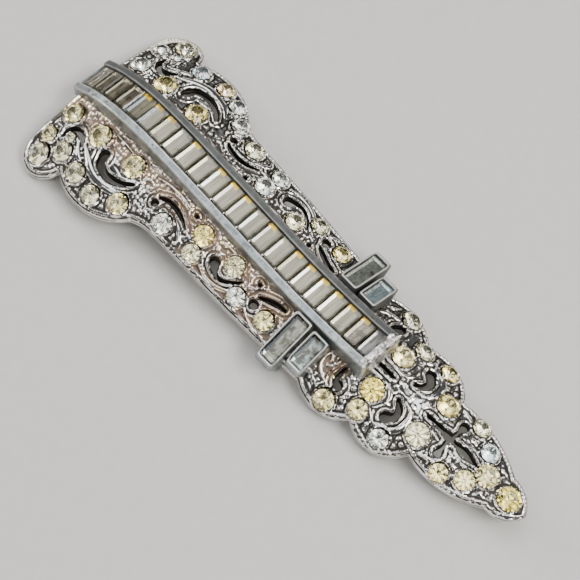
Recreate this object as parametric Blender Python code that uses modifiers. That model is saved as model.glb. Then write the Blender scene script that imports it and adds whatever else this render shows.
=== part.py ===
"""Dress clip: a domed and pierced casting with a raised channel of baguette stones down its middle.

X runs across the clip, Y along it with the wide end at +Y and the point at -Y, and Z up out of its face.
The clip lies on its back on Z = 0. Tables hold shares: across of HALF_WIDTH, along of HALF_LENGTH.
"""
import math

import bmesh
import bpy
from mathutils import Matrix, Vector

MM = 0.001
OBJECT_NAME = "dress_clip"

# The casting
HALF_WIDTH = 13.0 * MM
HALF_LENGTH = 36.0 * MM
PLATE_THICKNESS = 1.2 * MM
CROWN_FALL = 2.0 * MM
DOME_DROP = 5.9 * MM
DOME_FLATTENING = -0.72
DOME_EASING = 0.25
RELIEF_HEIGHT = 0.22 * MM
LIP_WIDTH = 0.4 * MM
OPENING_WIDTH = 1.5 * MM

# The channel
CHANNEL_RISE = 3.1 * MM
CHANNEL_DEPTH = 2.6 * MM
RAIL_THICKNESS = 0.95 * MM
RAIL_LIP = 0.15 * MM
END_WALL = 0.5 * MM
BAGUETTE_LENGTH = 3.6 * MM
BAGUETTE_HEIGHT = 1.25 * MM
BAGUETTES = 23
SHORT_BAGUETTE = 0.75
GIRDLE_SHARE = 0.7
BAGUETTE_STEPS = ((0.10, 0.18), (0.14, 0.12))

# The stepped trays at the channel's sides
TRAY_HEIGHT = 2.05 * MM
TRAY_DEPTH = 3.0 * MM
TRAY_RIM = 0.38 * MM
TRAY_TILT = math.radians(24.5)
LARGE_STONE = (6.0 * MM, 1.95 * MM)
SMALL_STONE = (3.95 * MM, 1.8 * MM)

# The round stones
STONE_DIAMETER = 2.5 * MM
STONE_HEIGHT = 1.15 * MM
STONE_SIDES = 8
COLLAR = 0.15 * MM
COLLAR_HEIGHT = 0.3 * MM
GIRDLE = 0.1 * MM
CROWN_SHARE = 0.4
TABLE_SHARE = 0.58
CULET_SHARE = 0.35
SET_CROWN_SHARE = 0.3
ROOT_SHARE = 0.7

# The clip on the back
CLIP_THICKNESS = 1.0 * MM
CLIP_HALF_WIDTH = 4.2 * MM
CLIP_LENGTH = 38.0 * MM
CLIP_END = 25.0 * MM
CLIP_TAPER = 0.75
FOOT_LENGTH = 6.0 * MM
FOOT_HALF_WIDTH = 2.8 * MM

# Fits and drawing
CLEARANCE = 0.1 * MM
CLIP_GAP = 0.3 * MM
GRID_ACROSS = 12
GRID_ALONG = 24
ARC_STEP = math.radians(30)
CHANNEL_STATIONS = 40
OVERCUT = 1.0 * MM
CUTTER_HEIGHT = 40.0 * MM
SLOPE_STEP = 0.1 * MM
MERGE_DISTANCE = 0.001 * MM
WELD_DISTANCE = 0.003 * MM

# Crown line of the face: along, height as a share of CROWN_FALL
CROWN_LINE = (
    (-1.00, -1.00), (-0.67, -0.64), (-0.34, -0.36), (0.00, 0.00), (0.33, 0.46),
    (0.50, 0.55), (0.66, 0.42), (0.83, -0.07), (1.00, -0.95),
)

# Outline of the right half from the top edge to the point: across, along, bulge of the arc that ends there
OUTLINE = (
    (0.00, 0.962, 0.000),
    (0.79, 0.965, 0.000),
    (0.835, 0.800, 0.190),
    (0.70, 0.508, 0.150),
    (0.645, 0.420, -0.015),
    (0.565, -0.225, 0.010),
    (0.473, -0.425, 0.100),
    (0.331, -0.625, 0.125),
    (0.177, -0.895, 0.075),
    (0.00, -0.997, 0.055),
)

# Pierced openings of the right half: across, along, half width as a share of OPENING_WIDTH
OPENINGS = {
    "ear_hook": ((0.60, 0.880, 0.12), (0.53, 0.878, 0.26), (0.482, 0.856, 0.33), (0.497, 0.828, 0.28),
                 (0.56, 0.803, 0.10)),
    "upper_comma": ((0.48, 0.720, 0.48), (0.555, 0.708, 0.40), (0.59, 0.680, 0.33), (0.592, 0.645, 0.33),
                    (0.555, 0.608, 0.27), (0.485, 0.576, 0.10)),
    "upper_eye": ((0.462, 0.486, 0.28), (0.462, 0.482, 0.28)),
    "upper_crescent": ((0.400, 0.484, 0.10), (0.372, 0.460, 0.20), (0.365, 0.424, 0.20), (0.39, 0.385, 0.16),
                       (0.432, 0.353, 0.05)),
    "upper_pinhole": ((0.285, 0.358, 0.16), (0.285, 0.354, 0.16)),
    "middle_comma": ((0.438, 0.213, 0.50), (0.480, 0.196, 0.26), (0.500, 0.174, 0.14), (0.485, 0.150, 0.13),
                     (0.440, 0.128, 0.11), (0.378, 0.107, 0.07)),
    "middle_pinhole": ((0.285, 0.064, 0.16), (0.285, 0.060, 0.16)),
    "lower_eye": ((0.430, 0.035, 0.38), (0.430, 0.031, 0.38)),
    "lower_crescent": ((0.355, 0.034, 0.12), (0.322, 0.008, 0.22), (0.292, -0.022, 0.22), (0.278, -0.052, 0.14)),
    "wing_comma": ((0.378, -0.328, 0.44), (0.345, -0.311, 0.25), (0.285, -0.308, 0.17), (0.240, -0.308, 0.15)),
    "heart": ((0.277, -0.497, 0.48), (0.225, -0.516, 0.38), (0.155, -0.512, 0.30), (0.102, -0.490, 0.18)),
}
AXIS_OPENINGS = {
    "slot": ((0.0, -0.372, 0.24), (0.0, -0.425, 0.24)),
    "spear": ((0.0, -0.582, 0.12), (0.0, -0.640, 0.22), (0.0, -0.672, 0.34), (0.0, -0.700, 0.22),
              (0.0, -0.740, 0.38), (0.0, -0.792, 0.06)),
}
CROSS_BAR = ((-0.155, -0.684, 0.30), (-0.095, -0.682, 0.20), (0.0, -0.682, 0.22), (0.095, -0.682, 0.20),
             (0.155, -0.684, 0.30))
LIPPED = ("ear_hook", "upper_comma", "upper_crescent", "middle_comma", "lower_crescent", "wing_comma", "heart")

# Channel line, the level of the baguettes' tables: along, height as a share of CHANNEL_RISE
CHANNEL_LINE = (
    (-0.352, 0.83), (-0.260, 0.62), (-0.130, 0.48), (0.000, 0.46), (0.183, 0.61), (0.361, 0.81),
    (0.542, 0.97), (0.658, 0.99), (0.750, 0.88), (0.833, 0.61), (0.906, 0.22), (0.953, -0.14), (0.997, -0.52),
)

# Trays of the right half: name, stone's length and width, across and along of the stone's middle
TRAYS = (
    ("large", LARGE_STONE, 0.477, -0.123),
    ("small", SMALL_STONE, 0.417, -0.201),
)

# Round stones: name, across, along, diameter as a share of STONE_DIAMETER, lead of the right one, sides
OWN_STONES = (
    ("ear", 0.848, 0.886, 1.10, -0.011, (-1, 1)),
    ("shoulder", 0.390, 0.783, 1.12, 0.004, (-1, 1)),
    ("breast", 0.380, 0.625, 1.10, 0.007, (-1, 1)),
    ("flank", 0.358, 0.297, 0.98, 0.000, (-1, 1)),
    ("wing", 0.198, -0.406, 1.08, 0.006, (-1, 1)),
    ("heart", 0.181, -0.603, 1.08, 0.000, (-1, 1)),
    ("point", 0.000, -0.928, 1.10, 0.000, (0,)),
)
FUSED_STONES = (
    ("top_inner", 0.392, 0.911, 1.00, -0.001, (-1, 1)),
    ("top_middle", 0.665, 0.922, 0.80, 0.001, (-1, 1)),
    ("ear_lower", 0.702, 0.836, 0.98, 0.000, (-1,)),
    ("ear_small", 0.568, 0.852, 0.50, 0.000, (-1,)),
    ("ear_seed", 0.700, 0.862, 0.55, 0.000, (1,)),
    ("edge_1", 0.757, 0.753, 0.97, 0.006, (-1, 1)),
    ("edge_2", 0.800, 0.656, 0.92, 0.000, (-1, 1)),
    ("edge_3", 0.690, 0.567, 1.00, 0.000, (-1,)),
    ("edge_4", 0.750, 0.578, 0.95, 0.000, (1,)),
    ("edge_5", 0.615, 0.512, 0.95, 0.000, (1,)),
    ("side_1", 0.540, 0.417, 0.96, 0.000, (-1, 1)),
    ("side_2", 0.528, 0.287, 0.88, 0.003, (-1, 1)),
    ("inner_1", 0.338, 0.152, 0.94, -0.006, (-1, 1)),
    ("side_3", 0.495, 0.089, 0.88, 0.001, (-1, 1)),
    ("inner_2", 0.460, -0.026, 0.90, 0.001, (-1, 1)),
    ("wing_outer", 0.530, -0.327, 1.00, 0.001, (-1, 1)),
    ("wing_edge", 0.390, -0.426, 0.92, -0.003, (-1, 1)),
    ("heart_outer", 0.425, -0.530, 0.90, 0.000, (-1, 1)),
    ("foot_outer", 0.272, -0.724, 0.88, 0.004, (-1, 1)),
    ("foot_inner", 0.161, -0.794, 0.90, 0.003, (-1, 1)),
    ("foot_middle", 0.000, -0.836, 1.05, 0.000, (0,)),
)

METAL = ("silver_casting", (0.63, 0.62, 0.60, 1.0), 0.28, 1.0)
CLIP_METAL = ("clip_metal", (0.60, 0.60, 0.59, 1.0), 0.35, 1.0)
CHAMPAGNE = ("champagne_stone", (0.86, 0.80, 0.58, 1.0), 0.08, 0.0)
SMOKE = ("smoky_baguette", (0.62, 0.61, 0.56, 1.0), 0.08, 0.0)


def spline(rows, steps):
    """Points on the smooth curve through rows of numbers, with steps points to each span."""
    points = [Vector(row) for row in rows]
    ends = [2 * points[0] - points[1]] + points + [2 * points[-1] - points[-2]]
    line = []
    for before, start, end, after in zip(ends, ends[1:], ends[2:], ends[3:]):
        for step in range(steps):
            t = step / steps
            line.append(0.5 * (2 * start + (end - before) * t
                               + (2 * before - 5 * start + 4 * end - after) * t * t
                               + (3 * start - before - 3 * end + after) * t ** 3))
    line.append(points[-1])
    return line


def level_at(line, y):
    """Height of a line of (y, z) points at y, straight between them and beyond its ends."""
    for start, end in zip(line, line[1:]):
        if y <= end[0] or end is line[-1]:
            return start[1] + (end[1] - start[1]) * (y - start[0]) / (end[0] - start[0])


CROWN = [Vector((a * HALF_LENGTH, h * CROWN_FALL)) for a, h in spline(CROWN_LINE, 4)]


def face_drop(x, y):
    """Height of the casting's face against its crown half way along."""
    t = y / HALF_LENGTH
    dome = DOME_DROP * (1 + DOME_FLATTENING * t + DOME_EASING * t * t)
    return level_at(CROWN, y) - dome * (x / HALF_WIDTH) ** 2


def arc(start, end, bulge):
    """Points after start up to end on the arc that bulges by the given height to the left of its chord."""
    chord = end - start
    if abs(bulge) < 0.001 * chord.length:
        return [end]
    radius = chord.length ** 2 / (8 * bulge) + bulge / 2
    sweep = 4 * math.atan2(2 * bulge, chord.length)
    steps = max(2, math.ceil(abs(sweep) / ARC_STEP))
    side = Vector((-chord.y, chord.x)).normalized()
    centre = (start + end) / 2 + side * (bulge - radius)
    return [centre + Matrix.Rotation(-sweep * step / steps, 2) @ (start - centre) for step in range(1, steps + 1)]


def half_outline():
    """The right half of the casting's outline, from the top edge to the point."""
    points = [Vector((OUTLINE[0][0] * HALF_WIDTH, OUTLINE[0][1] * HALF_LENGTH))]
    for across, along, bulge in OUTLINE[1:]:
        end = Vector((across * HALF_WIDTH, along * HALF_LENGTH))
        points += arc(points[-1], end, bulge * HALF_WIDTH)
    return points


def whole_outline():
    right = half_outline()
    return right + [Vector((-p.x, p.y)) for p in reversed(right[1:-1])]


def stroke(rows, extra=0.0):
    """Closed outline of a stroke whose half width changes along its curve, with round ends."""
    places = [(a * HALF_WIDTH, b * HALF_LENGTH, w * OPENING_WIDTH) for a, b, w in rows]
    line = spline(places, 2)
    left, right = [], []
    for index, point in enumerate(line):
        before = line[max(index - 1, 0)]
        after = line[min(index + 1, len(line) - 1)]
        ahead = (after - before).to_2d().normalized()
        side = Vector((-ahead.y, ahead.x)) * (point.z + extra)
        left.append(point.to_2d() + side)
        right.append(point.to_2d() - side)
    tail = arc(left[-1], right[-1], (left[-1] - right[-1]).length / 2)
    head = arc(right[0], left[0], (left[0] - right[0]).length / 2)
    return left + tail + right[-2::-1] + head[:-1]


def mirrored(points):
    return [Vector((-p.x, p.y)) for p in reversed(points)]


def face_normal(x, y):
    """Unit normal of the casting's face."""
    slope_x = (face_drop(x + SLOPE_STEP, y) - face_drop(x - SLOPE_STEP, y)) / (2 * SLOPE_STEP)
    slope_y = (face_drop(x, y + SLOPE_STEP) - face_drop(x, y - SLOPE_STEP)) / (2 * SLOPE_STEP)
    return Vector((-slope_x, -slope_y, 1)).normalized()


LOWEST = min(face_drop(p.x, p.y) - PLATE_THICKNESS / face_normal(p.x, p.y).z for p in half_outline())


def face_z(x, y):
    """Height of the casting's face above the surface it lies on."""
    return face_drop(x, y) - LOWEST


def collection(name):
    """A collection of that name in the scene."""
    found = bpy.data.collections.get(name) or bpy.data.collections.new(name)
    if found.name not in bpy.context.scene.collection.children:
        bpy.context.scene.collection.children.link(found)
    return found


def material(spec):
    name, colour, roughness, metallic = spec
    found = bpy.data.materials.get(name)
    if found is None:
        found = bpy.data.materials.new(name)
        found.use_nodes = True
        shader = found.node_tree.nodes["Principled BSDF"]
        shader.inputs["Base Color"].default_value = colour
        shader.inputs["Roughness"].default_value = roughness
        shader.inputs["Metallic"].default_value = metallic
        found.diffuse_color = colour
    return found


def new_object(name, data, group, spec=None):
    made = bpy.data.objects.new(name, data)
    collection(group).objects.link(made)
    if spec:
        made.data.materials.append(material(spec))
    if group == "cutters":
        made.hide_render = True
        made.display_type = "WIRE"
    return made


def add_boolean(target, operation, operand):
    """Joins, cuts or limits target by operand, and welds the hair-fine edges that this leaves."""
    modifier = target.modifiers.new(operand.name, "BOOLEAN")
    modifier.operation = operation
    modifier.solver = "EXACT"
    modifier.object = operand
    weld = target.modifiers.new("Weld " + operand.name, "WELD")
    weld.merge_threshold = WELD_DISTANCE


def flat_solid(name, outlines, thickness, group, spec=None, matrix=None):
    """Solid of flat outlines, one inside another making a hole, thickness deep about its own plane."""
    curve = bpy.data.curves.new(name, "CURVE")
    curve.dimensions = "2D"
    curve.fill_mode = "BOTH"
    curve.extrude = thickness / 2
    for points in outlines:
        line = curve.splines.new("POLY")
        line.points.add(len(points) - 1)
        for target, point in zip(line.points, points):
            target.co = (point.x, point.y, 0, 1)
        line.use_cyclic_u = True
    flat = new_object(name + "_curve", curve, group)
    flat.matrix_world = matrix or Matrix()
    bpy.context.view_layer.update()
    shape = flat.evaluated_get(bpy.context.evaluated_depsgraph_get())
    mesh = bpy.data.meshes.new_from_object(shape)
    welded = bmesh.new()
    welded.from_mesh(mesh)
    bmesh.ops.remove_doubles(welded, verts=welded.verts, dist=MERGE_DISTANCE)
    bmesh.ops.recalc_face_normals(welded, faces=welded.faces)
    welded.to_mesh(mesh)
    welded.free()
    solid = new_object(name, mesh, group, spec)
    solid.matrix_world = matrix or Matrix()
    bpy.data.objects.remove(flat)
    return solid


def domed_slab(name, over, thickness, group, spec=None):
    """A slab whose top lies over the casting's face by a constant height, in flat triangles."""
    bm = bmesh.new()
    bmesh.ops.create_grid(bm, x_segments=GRID_ACROSS, y_segments=GRID_ALONG, size=1.0)
    for vertex in bm.verts:
        x = vertex.co.x * (HALF_WIDTH + OVERCUT)
        y = vertex.co.y * (HALF_LENGTH + OVERCUT)
        vertex.co = (x, y, face_z(x, y) + over)
    bmesh.ops.triangulate(bm, faces=bm.faces)
    mesh = bpy.data.meshes.new(name)
    bm.to_mesh(mesh)
    bm.free()
    slab = new_object(name, mesh, group, spec)
    solidify = slab.modifiers.new("Thickness", "SOLIDIFY")
    solidify.thickness = thickness
    solidify.offset = -1
    return slab


def channel_line():
    """The level of the baguettes' tables, evenly fine, as (y, z) points."""
    return [Vector((a * HALF_LENGTH, h * CHANNEL_RISE - LOWEST)) for a, h in spline(CHANNEL_LINE, 5)]


def point_along(line, distance):
    """Point and unit direction at a distance along a line of points."""
    walked = 0.0
    for start, end in zip(line, line[1:]):
        span = (end - start).length
        if walked + span >= distance or end is line[-1]:
            ahead = (end - start).normalized()
            return start + ahead * (distance - walked), ahead
        walked += span


def line_length(line):
    return sum((end - start).length for start, end in zip(line, line[1:]))


def side_matrix():
    """Turns a flat outline's own (x, y) into the part's (Y, Z)."""
    return Matrix(((0, 0, 1, 0), (1, 0, 0, 0), (0, 1, 0, 0), (0, 0, 0, 1)))


def channel_body():
    """The two rails, their end walls and what lies between, before the groove is cut."""
    top = [p + Vector((0, RAIL_LIP)) for p in channel_line()]
    bottom = [Vector((p.x, min(p.y - CHANNEL_DEPTH, face_z(0, p.x) - ROOT_SHARE * PLATE_THICKNESS))) for p in top]
    width = BAGUETTE_LENGTH + 2 * (CLEARANCE + RAIL_THICKNESS)
    return flat_solid("channel_body", [top + bottom[::-1]], width, "cutters", matrix=side_matrix())


def offset_point(line, distance, down):
    point, ahead = point_along(line, distance)
    return point + Vector((ahead.y, -ahead.x)) * down


def channel_groove():
    """The cut between the rails that holds the baguettes."""
    line = channel_line()
    run = line_length(line) - 2 * END_WALL
    floor, roof = [], []
    for step in range(CHANNEL_STATIONS + 1):
        distance = END_WALL + run * step / CHANNEL_STATIONS
        floor.append(offset_point(line, distance, BAGUETTE_HEIGHT + CLEARANCE))
        roof.append(offset_point(line, distance, -OVERCUT))
    width = BAGUETTE_LENGTH + 2 * CLEARANCE
    return flat_solid("channel_groove", [floor + roof[::-1]], width, "cutters", matrix=side_matrix())


def tray_frame(across, along, side):
    """Matrix of a tray's stone: its own X outward along the slope, and Z out of the tray."""
    x = side * across * HALF_WIDTH
    y = along * HALF_LENGTH
    place = Matrix.Translation((x, y, face_z(x, y) + TRAY_HEIGHT))
    return place @ Matrix.Rotation(side * TRAY_TILT, 4, "Y")


def box(name, size, centre, matrix, group, spec=None):
    """A box of a size about a centre, both in the frame of the matrix."""
    bm = bmesh.new()
    bmesh.ops.create_cube(bm, size=1.0)
    bmesh.ops.scale(bm, vec=size, verts=bm.verts)
    bmesh.ops.translate(bm, vec=centre, verts=bm.verts)
    mesh = bpy.data.meshes.new(name)
    bm.to_mesh(mesh)
    bm.free()
    made = new_object(name, mesh, group, spec)
    made.matrix_world = matrix
    return made


def tray_block(name, stone, across, along, side):
    """Solid tray from the rail to past the stone's outer end."""
    length, width = stone
    rim = TRAY_RIM + CLEARANCE
    frame = tray_frame(across, along, side)
    reach = across * HALF_WIDTH / math.cos(TRAY_TILT) - BAGUETTE_LENGTH / 2
    outer = length / 2 + rim
    size = (outer + reach, width + 2 * rim, TRAY_DEPTH + RAIL_LIP)
    centre = (side * (outer - reach) / 2, 0, RAIL_LIP - size[2] / 2)
    return box(name, size, centre, frame, "cutters")


def tray_recess(name, stone, across, along, side):
    length, width = stone
    depth = BAGUETTE_HEIGHT + CLEARANCE
    size = (length + 2 * CLEARANCE, width + 2 * CLEARANCE, depth + OVERCUT)
    return box(name, size, (0, 0, size[2] / 2 - depth), tray_frame(across, along, side), "cutters")


def baguette(name, length, width, matrix):
    """A step-cut bar: a straight girdle under two steps of facets and a flat table at Z = 0."""
    bm = bmesh.new()
    bmesh.ops.create_cube(bm, size=1.0)
    bmesh.ops.scale(bm, vec=(length, width, GIRDLE_SHARE * BAGUETTE_HEIGHT), verts=bm.verts)
    bmesh.ops.translate(bm, vec=(0, 0, (GIRDLE_SHARE / 2 - 1) * BAGUETTE_HEIGHT), verts=bm.verts)
    for inset, rise in BAGUETTE_STEPS:
        top = max(bm.faces, key=lambda face: face.calc_center_median().z)
        grown_faces = bmesh.ops.extrude_face_region(bm, geom=[top])["geom"]
        moved = [item for item in grown_faces if isinstance(item, bmesh.types.BMVert)]
        bm.faces.remove(top)
        for vertex in moved:
            vertex.co.x -= math.copysign(inset * width, vertex.co.x)
            vertex.co.y -= math.copysign(inset * width, vertex.co.y)
            vertex.co.z += rise * BAGUETTE_HEIGHT
    bmesh.ops.recalc_face_normals(bm, faces=bm.faces)
    mesh = bpy.data.meshes.new(name)
    bm.to_mesh(mesh)
    bm.free()
    made = new_object(name, mesh, OBJECT_NAME, SMOKE)
    made.matrix_world = matrix
    return made


def turned(name, profile, matrix, group, spec=None):
    """Solid turned about Z from (radius, height) points, with flat facets."""
    mesh = bpy.data.meshes.new(name)
    vertices = [(radius, 0, height) for radius, height in profile]
    mesh.from_pydata(vertices, [(i, i + 1) for i in range(len(vertices) - 1)], [])
    made = new_object(name, mesh, group, spec)
    screw = made.modifiers.new("Turn", "SCREW")
    screw.steps = STONE_SIDES
    screw.render_steps = STONE_SIDES
    screw.use_merge_vertices = True
    screw.merge_threshold = MERGE_DISTANCE
    screw.use_smooth_shade = False
    screw.use_normal_flip = True
    made.matrix_world = matrix
    return made


def stone_places(rows):
    """Name, radius and frame of each round stone of a table, on the casting's face."""
    for name, across, along, share, lead, sides in rows:
        for side in sides:
            x = side * across * HALF_WIDTH
            y = (along + side * lead) * HALF_LENGTH
            turn = Vector((0, 0, 1)).rotation_difference(face_normal(x, y)).to_matrix().to_4x4()
            label = {-1: "_left", 0: "", 1: "_right"}[side]
            yield name + label, share * STONE_DIAMETER / 2, Matrix.Translation((x, y, face_z(x, y))) @ turn


def stone_profile(radius):
    """Table, crown, girdle and pavilion of a round stone whose girdle is at the collar's height."""
    crown = CROWN_SHARE * STONE_HEIGHT
    girdle = COLLAR_HEIGHT - GIRDLE
    culet = girdle + crown - STONE_HEIGHT
    return [(0, culet), (CULET_SHARE * radius, culet), (radius, girdle), (radius, COLLAR_HEIGHT),
            (TABLE_SHARE * radius, girdle + crown), (0, girdle + crown)]


def join(name, objects):
    """One mesh of several objects as they are evaluated, which are then removed."""
    depsgraph = bpy.context.evaluated_depsgraph_get()
    bpy.context.view_layer.update()
    bm = bmesh.new()
    for item in objects:
        mesh = bpy.data.meshes.new_from_object(item.evaluated_get(depsgraph))
        mesh.transform(item.matrix_world)
        bm.from_mesh(mesh)
    bmesh.ops.recalc_face_normals(bm, faces=bm.faces)
    mesh = bpy.data.meshes.new(name)
    bm.to_mesh(mesh)
    bm.free()
    for item in objects:
        bpy.data.objects.remove(item)
    return new_object(name, mesh, "cutters")


def joined_apart(name, solids):
    """Joins (radius, object) solids into as few meshes as hold none that touch each other."""
    groups = []
    for radius, item in solids:
        place = item.matrix_world.translation
        for group in groups:
            if all((place - other.matrix_world.translation).length > radius + reach for reach, other in group):
                group.append((radius, item))
                break
        else:
            groups.append([(radius, item)])
    return [join("%s_%d" % (name, index), [item for _, item in group]) for index, group in enumerate(groups)]


def set_stones():
    """The small stones with their collars, which are one body with the casting."""
    made = []
    for name, radius, frame in stone_places(FUSED_STONES):
        outer = radius + COLLAR
        root = -ROOT_SHARE * PLATE_THICKNESS
        crown = COLLAR_HEIGHT + SET_CROWN_SHARE * STONE_HEIGHT
        profile = [(0, root), (outer, root), (outer, COLLAR_HEIGHT), (radius, COLLAR_HEIGHT),
                   (TABLE_SHARE * radius, crown), (0, crown)]
        made.append((outer, turned("set_" + name, profile, frame, "cutters")))
    return joined_apart("set_stones", made)


def collars():
    made = []
    for name, radius, frame in stone_places(OWN_STONES):
        outer = radius + CLEARANCE + COLLAR
        root = -ROOT_SHARE * PLATE_THICKNESS
        profile = [(0, root), (outer, root), (outer, COLLAR_HEIGHT), (0, COLLAR_HEIGHT)]
        made.append((outer, turned("collar_" + name, profile, frame, "cutters")))
    return joined_apart("collars", made)


def seats():
    made = []
    for name, radius, frame in stone_places(OWN_STONES):
        bore = radius + CLEARANCE
        floor = COLLAR_HEIGHT - STONE_HEIGHT
        profile = [(0, floor), (bore, floor), (bore, OVERCUT), (0, OVERCUT)]
        made.append(turned("seat_" + name, profile, frame, "cutters"))
    return join("seats", made)


def opening_outlines():
    """Outlines of every opening but the cross bar, on both sides."""
    outlines = []
    for rows in OPENINGS.values():
        right = stroke(rows)
        outlines += [right, mirrored(right)]
    return outlines + [stroke(rows) for rows in AXIS_OPENINGS.values()]


def lip_outlines():
    outlines = []
    for name in LIPPED:
        right = stroke(OPENINGS[name], LIP_WIDTH)
        outlines += [right, mirrored(right)]
    return outlines + [stroke(AXIS_OPENINGS["spear"], LIP_WIDTH)]


def upright(name, outlines):
    """Cutter that stands through the whole clip."""
    return flat_solid(name, outlines, CUTTER_HEIGHT, "cutters")


def casting():
    """The plate with its scroll lips, the channel, the trays and the small stones, one body of metal."""
    plate = domed_slab("plate", 0.0, PLATE_THICKNESS, OBJECT_NAME, METAL)
    relief = domed_slab("relief", RELIEF_HEIGHT, RELIEF_HEIGHT + PLATE_THICKNESS / 2, "cutters")
    add_boolean(relief, "INTERSECT", upright("relief_outline", lip_outlines()))
    add_boolean(plate, "INTERSECT", upright("plate_outline", [whole_outline()]))
    add_boolean(plate, "UNION", relief)
    for group in collars() + set_stones():
        add_boolean(plate, "UNION", group)
    add_boolean(plate, "DIFFERENCE", seats())
    add_boolean(plate, "DIFFERENCE", upright("openings", opening_outlines()))
    add_boolean(plate, "DIFFERENCE", upright("cross_opening", [stroke(CROSS_BAR)]))
    add_boolean(plate, "UNION", channel_body())
    for name, stone, across, along in TRAYS:
        for label, side in (("left", -1), ("right", 1)):
            add_boolean(plate, "UNION", tray_block("tray_%s_%s" % (name, label), stone, across, along, side))
    add_boolean(plate, "DIFFERENCE", channel_groove())
    for name, stone, across, along in TRAYS:
        for label, side in (("left", -1), ("right", 1)):
            add_boolean(plate, "DIFFERENCE", tray_recess("recess_%s_%s" % (name, label), stone, across, along, side))


def channel_baguettes():
    """The row of baguettes, numbered from the lower end, whose first stone is short."""
    line = channel_line()
    run = line_length(line) - 2 * END_WALL
    pitch = run / (BAGUETTES - 1 + SHORT_BAGUETTE)
    start = END_WALL
    for number in range(BAGUETTES):
        room = pitch * (SHORT_BAGUETTE if number == 0 else 1.0)
        point, ahead = point_along(line, start + room / 2)
        turn = Matrix.Rotation(math.atan2(ahead.y, ahead.x), 4, "X")
        place = Matrix.Translation((0, point.x, point.y)) @ turn
        baguette("baguette_%02d" % (number + 1), BAGUETTE_LENGTH, room - 1.5 * CLEARANCE, place)
        start += room


def side_baguettes():
    for name, (length, width), across, along in TRAYS:
        for label, side in (("left", -1), ("right", 1)):
            baguette("side_baguette_%s_%s" % (name, label), length, width, tray_frame(across, along, side))


def round_stones():
    for name, radius, frame in stone_places(OWN_STONES):
        turned("stone_" + name, stone_profile(radius), frame, OBJECT_NAME, CHAMPAGNE)


def back_clip():
    """The plain clip under the casting: a flat tongue on a foot that stops short of the plate."""
    tip = CLIP_END - CLIP_LENGTH
    width = CLIP_HALF_WIDTH
    narrow = CLIP_TAPER * width
    corners = [Vector((-width, CLIP_END)), Vector((width, CLIP_END)), Vector((narrow, tip + narrow))]
    tongue = corners + arc(corners[-1], Vector((-narrow, tip + narrow)), narrow)
    place = Matrix.Translation((0, 0, CLIP_THICKNESS / 2))
    clip = flat_solid("back_clip", [tongue], CLIP_THICKNESS, OBJECT_NAME, CLIP_METAL, place)
    foot_end = CLIP_END - CLIP_THICKNESS
    corners = [(x, y) for x in (0, FOOT_HALF_WIDTH) for y in (foot_end, foot_end - FOOT_LENGTH)]
    ceiling = min(face_z(x, y) for x, y in corners) - PLATE_THICKNESS - CLIP_GAP
    size = (2 * FOOT_HALF_WIDTH, FOOT_LENGTH, ceiling - CLIP_THICKNESS / 2)
    centre = (0, foot_end - FOOT_LENGTH / 2, ceiling - size[2] / 2)
    add_boolean(clip, "UNION", box("clip_foot", size, centre, Matrix(), "cutters"))


def main():
    for item in list(bpy.data.objects):
        bpy.data.objects.remove(item)
    collection(OBJECT_NAME)
    collection("cutters")
    casting()
    channel_baguettes()
    side_baguettes()
    round_stones()
    back_clip()


main()
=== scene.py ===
"""Looks of the dress clip: pierced casting, channel, trays, stones and clip, dressed on the packed frame.

X runs across, Y along it to the wide end, Z up out of its face. Tables hold shares: across of HALF_WIDTH,
along of HALF_LENGTH. Lengths are in metres.
"""

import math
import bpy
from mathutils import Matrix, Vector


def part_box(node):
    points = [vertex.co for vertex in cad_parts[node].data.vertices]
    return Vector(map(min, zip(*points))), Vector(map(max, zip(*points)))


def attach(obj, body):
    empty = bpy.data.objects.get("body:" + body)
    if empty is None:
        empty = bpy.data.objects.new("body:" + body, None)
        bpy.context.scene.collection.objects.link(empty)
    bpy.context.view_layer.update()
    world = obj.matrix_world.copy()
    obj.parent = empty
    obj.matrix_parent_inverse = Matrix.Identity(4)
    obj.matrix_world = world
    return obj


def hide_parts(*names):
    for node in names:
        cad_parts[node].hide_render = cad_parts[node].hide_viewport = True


bl_info = {
    "name": "Dress clip",
    "version": (1, 0, 0),
    "blender": (4, 5, 0),
    "location": "View3D > Sidebar > Dress clip",
    "description": "Dresses the frame of a pierced dress clip with cast metal and foiled stones",
    "category": "Object",
}

import bpy
import numpy as np
from mathutils import Matrix, Vector

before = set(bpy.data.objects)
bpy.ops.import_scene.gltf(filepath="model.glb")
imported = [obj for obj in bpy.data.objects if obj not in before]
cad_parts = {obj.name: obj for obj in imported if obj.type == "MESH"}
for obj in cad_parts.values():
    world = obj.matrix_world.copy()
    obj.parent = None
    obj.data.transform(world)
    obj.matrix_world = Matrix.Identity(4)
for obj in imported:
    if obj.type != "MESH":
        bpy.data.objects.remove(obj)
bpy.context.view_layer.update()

MM = 0.001
BODY = "root"
SIDES = {-1: "left", 1: "right"}

# Sizes of the frame that the pieces are fitted to
HALF_WIDTH = 13.0 * MM
HALF_LENGTH = 36.0 * MM
PLATE_THICKNESS = 1.2 * MM
CROWN_FALL = 2.0 * MM
DOME_DROP = 5.9 * MM
DOME_FLATTENING = -0.72
DOME_EASING = 0.25
OPENING_WIDTH = 1.5 * MM
OPENING_TRIM = 0.84
CHANNEL_RISE = 3.1 * MM
RAIL_THICKNESS = 0.95 * MM
RAIL_LIP = 0.15 * MM
END_WALL = 0.5 * MM
BAGUETTE_LENGTH = 3.6 * MM
BAGUETTE_HEIGHT = 1.25 * MM
BAGUETTES = 23
SHORT_BAGUETTE = 0.75
TRAY_HEIGHT = 2.05 * MM
TRAY_DEPTH = 3.0 * MM
TRAY_RIM = 0.38 * MM
TRAY_TILT = math.radians(24.5)
STONE_DIAMETER = 2.5 * MM
CLEARANCE = 0.1 * MM

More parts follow.
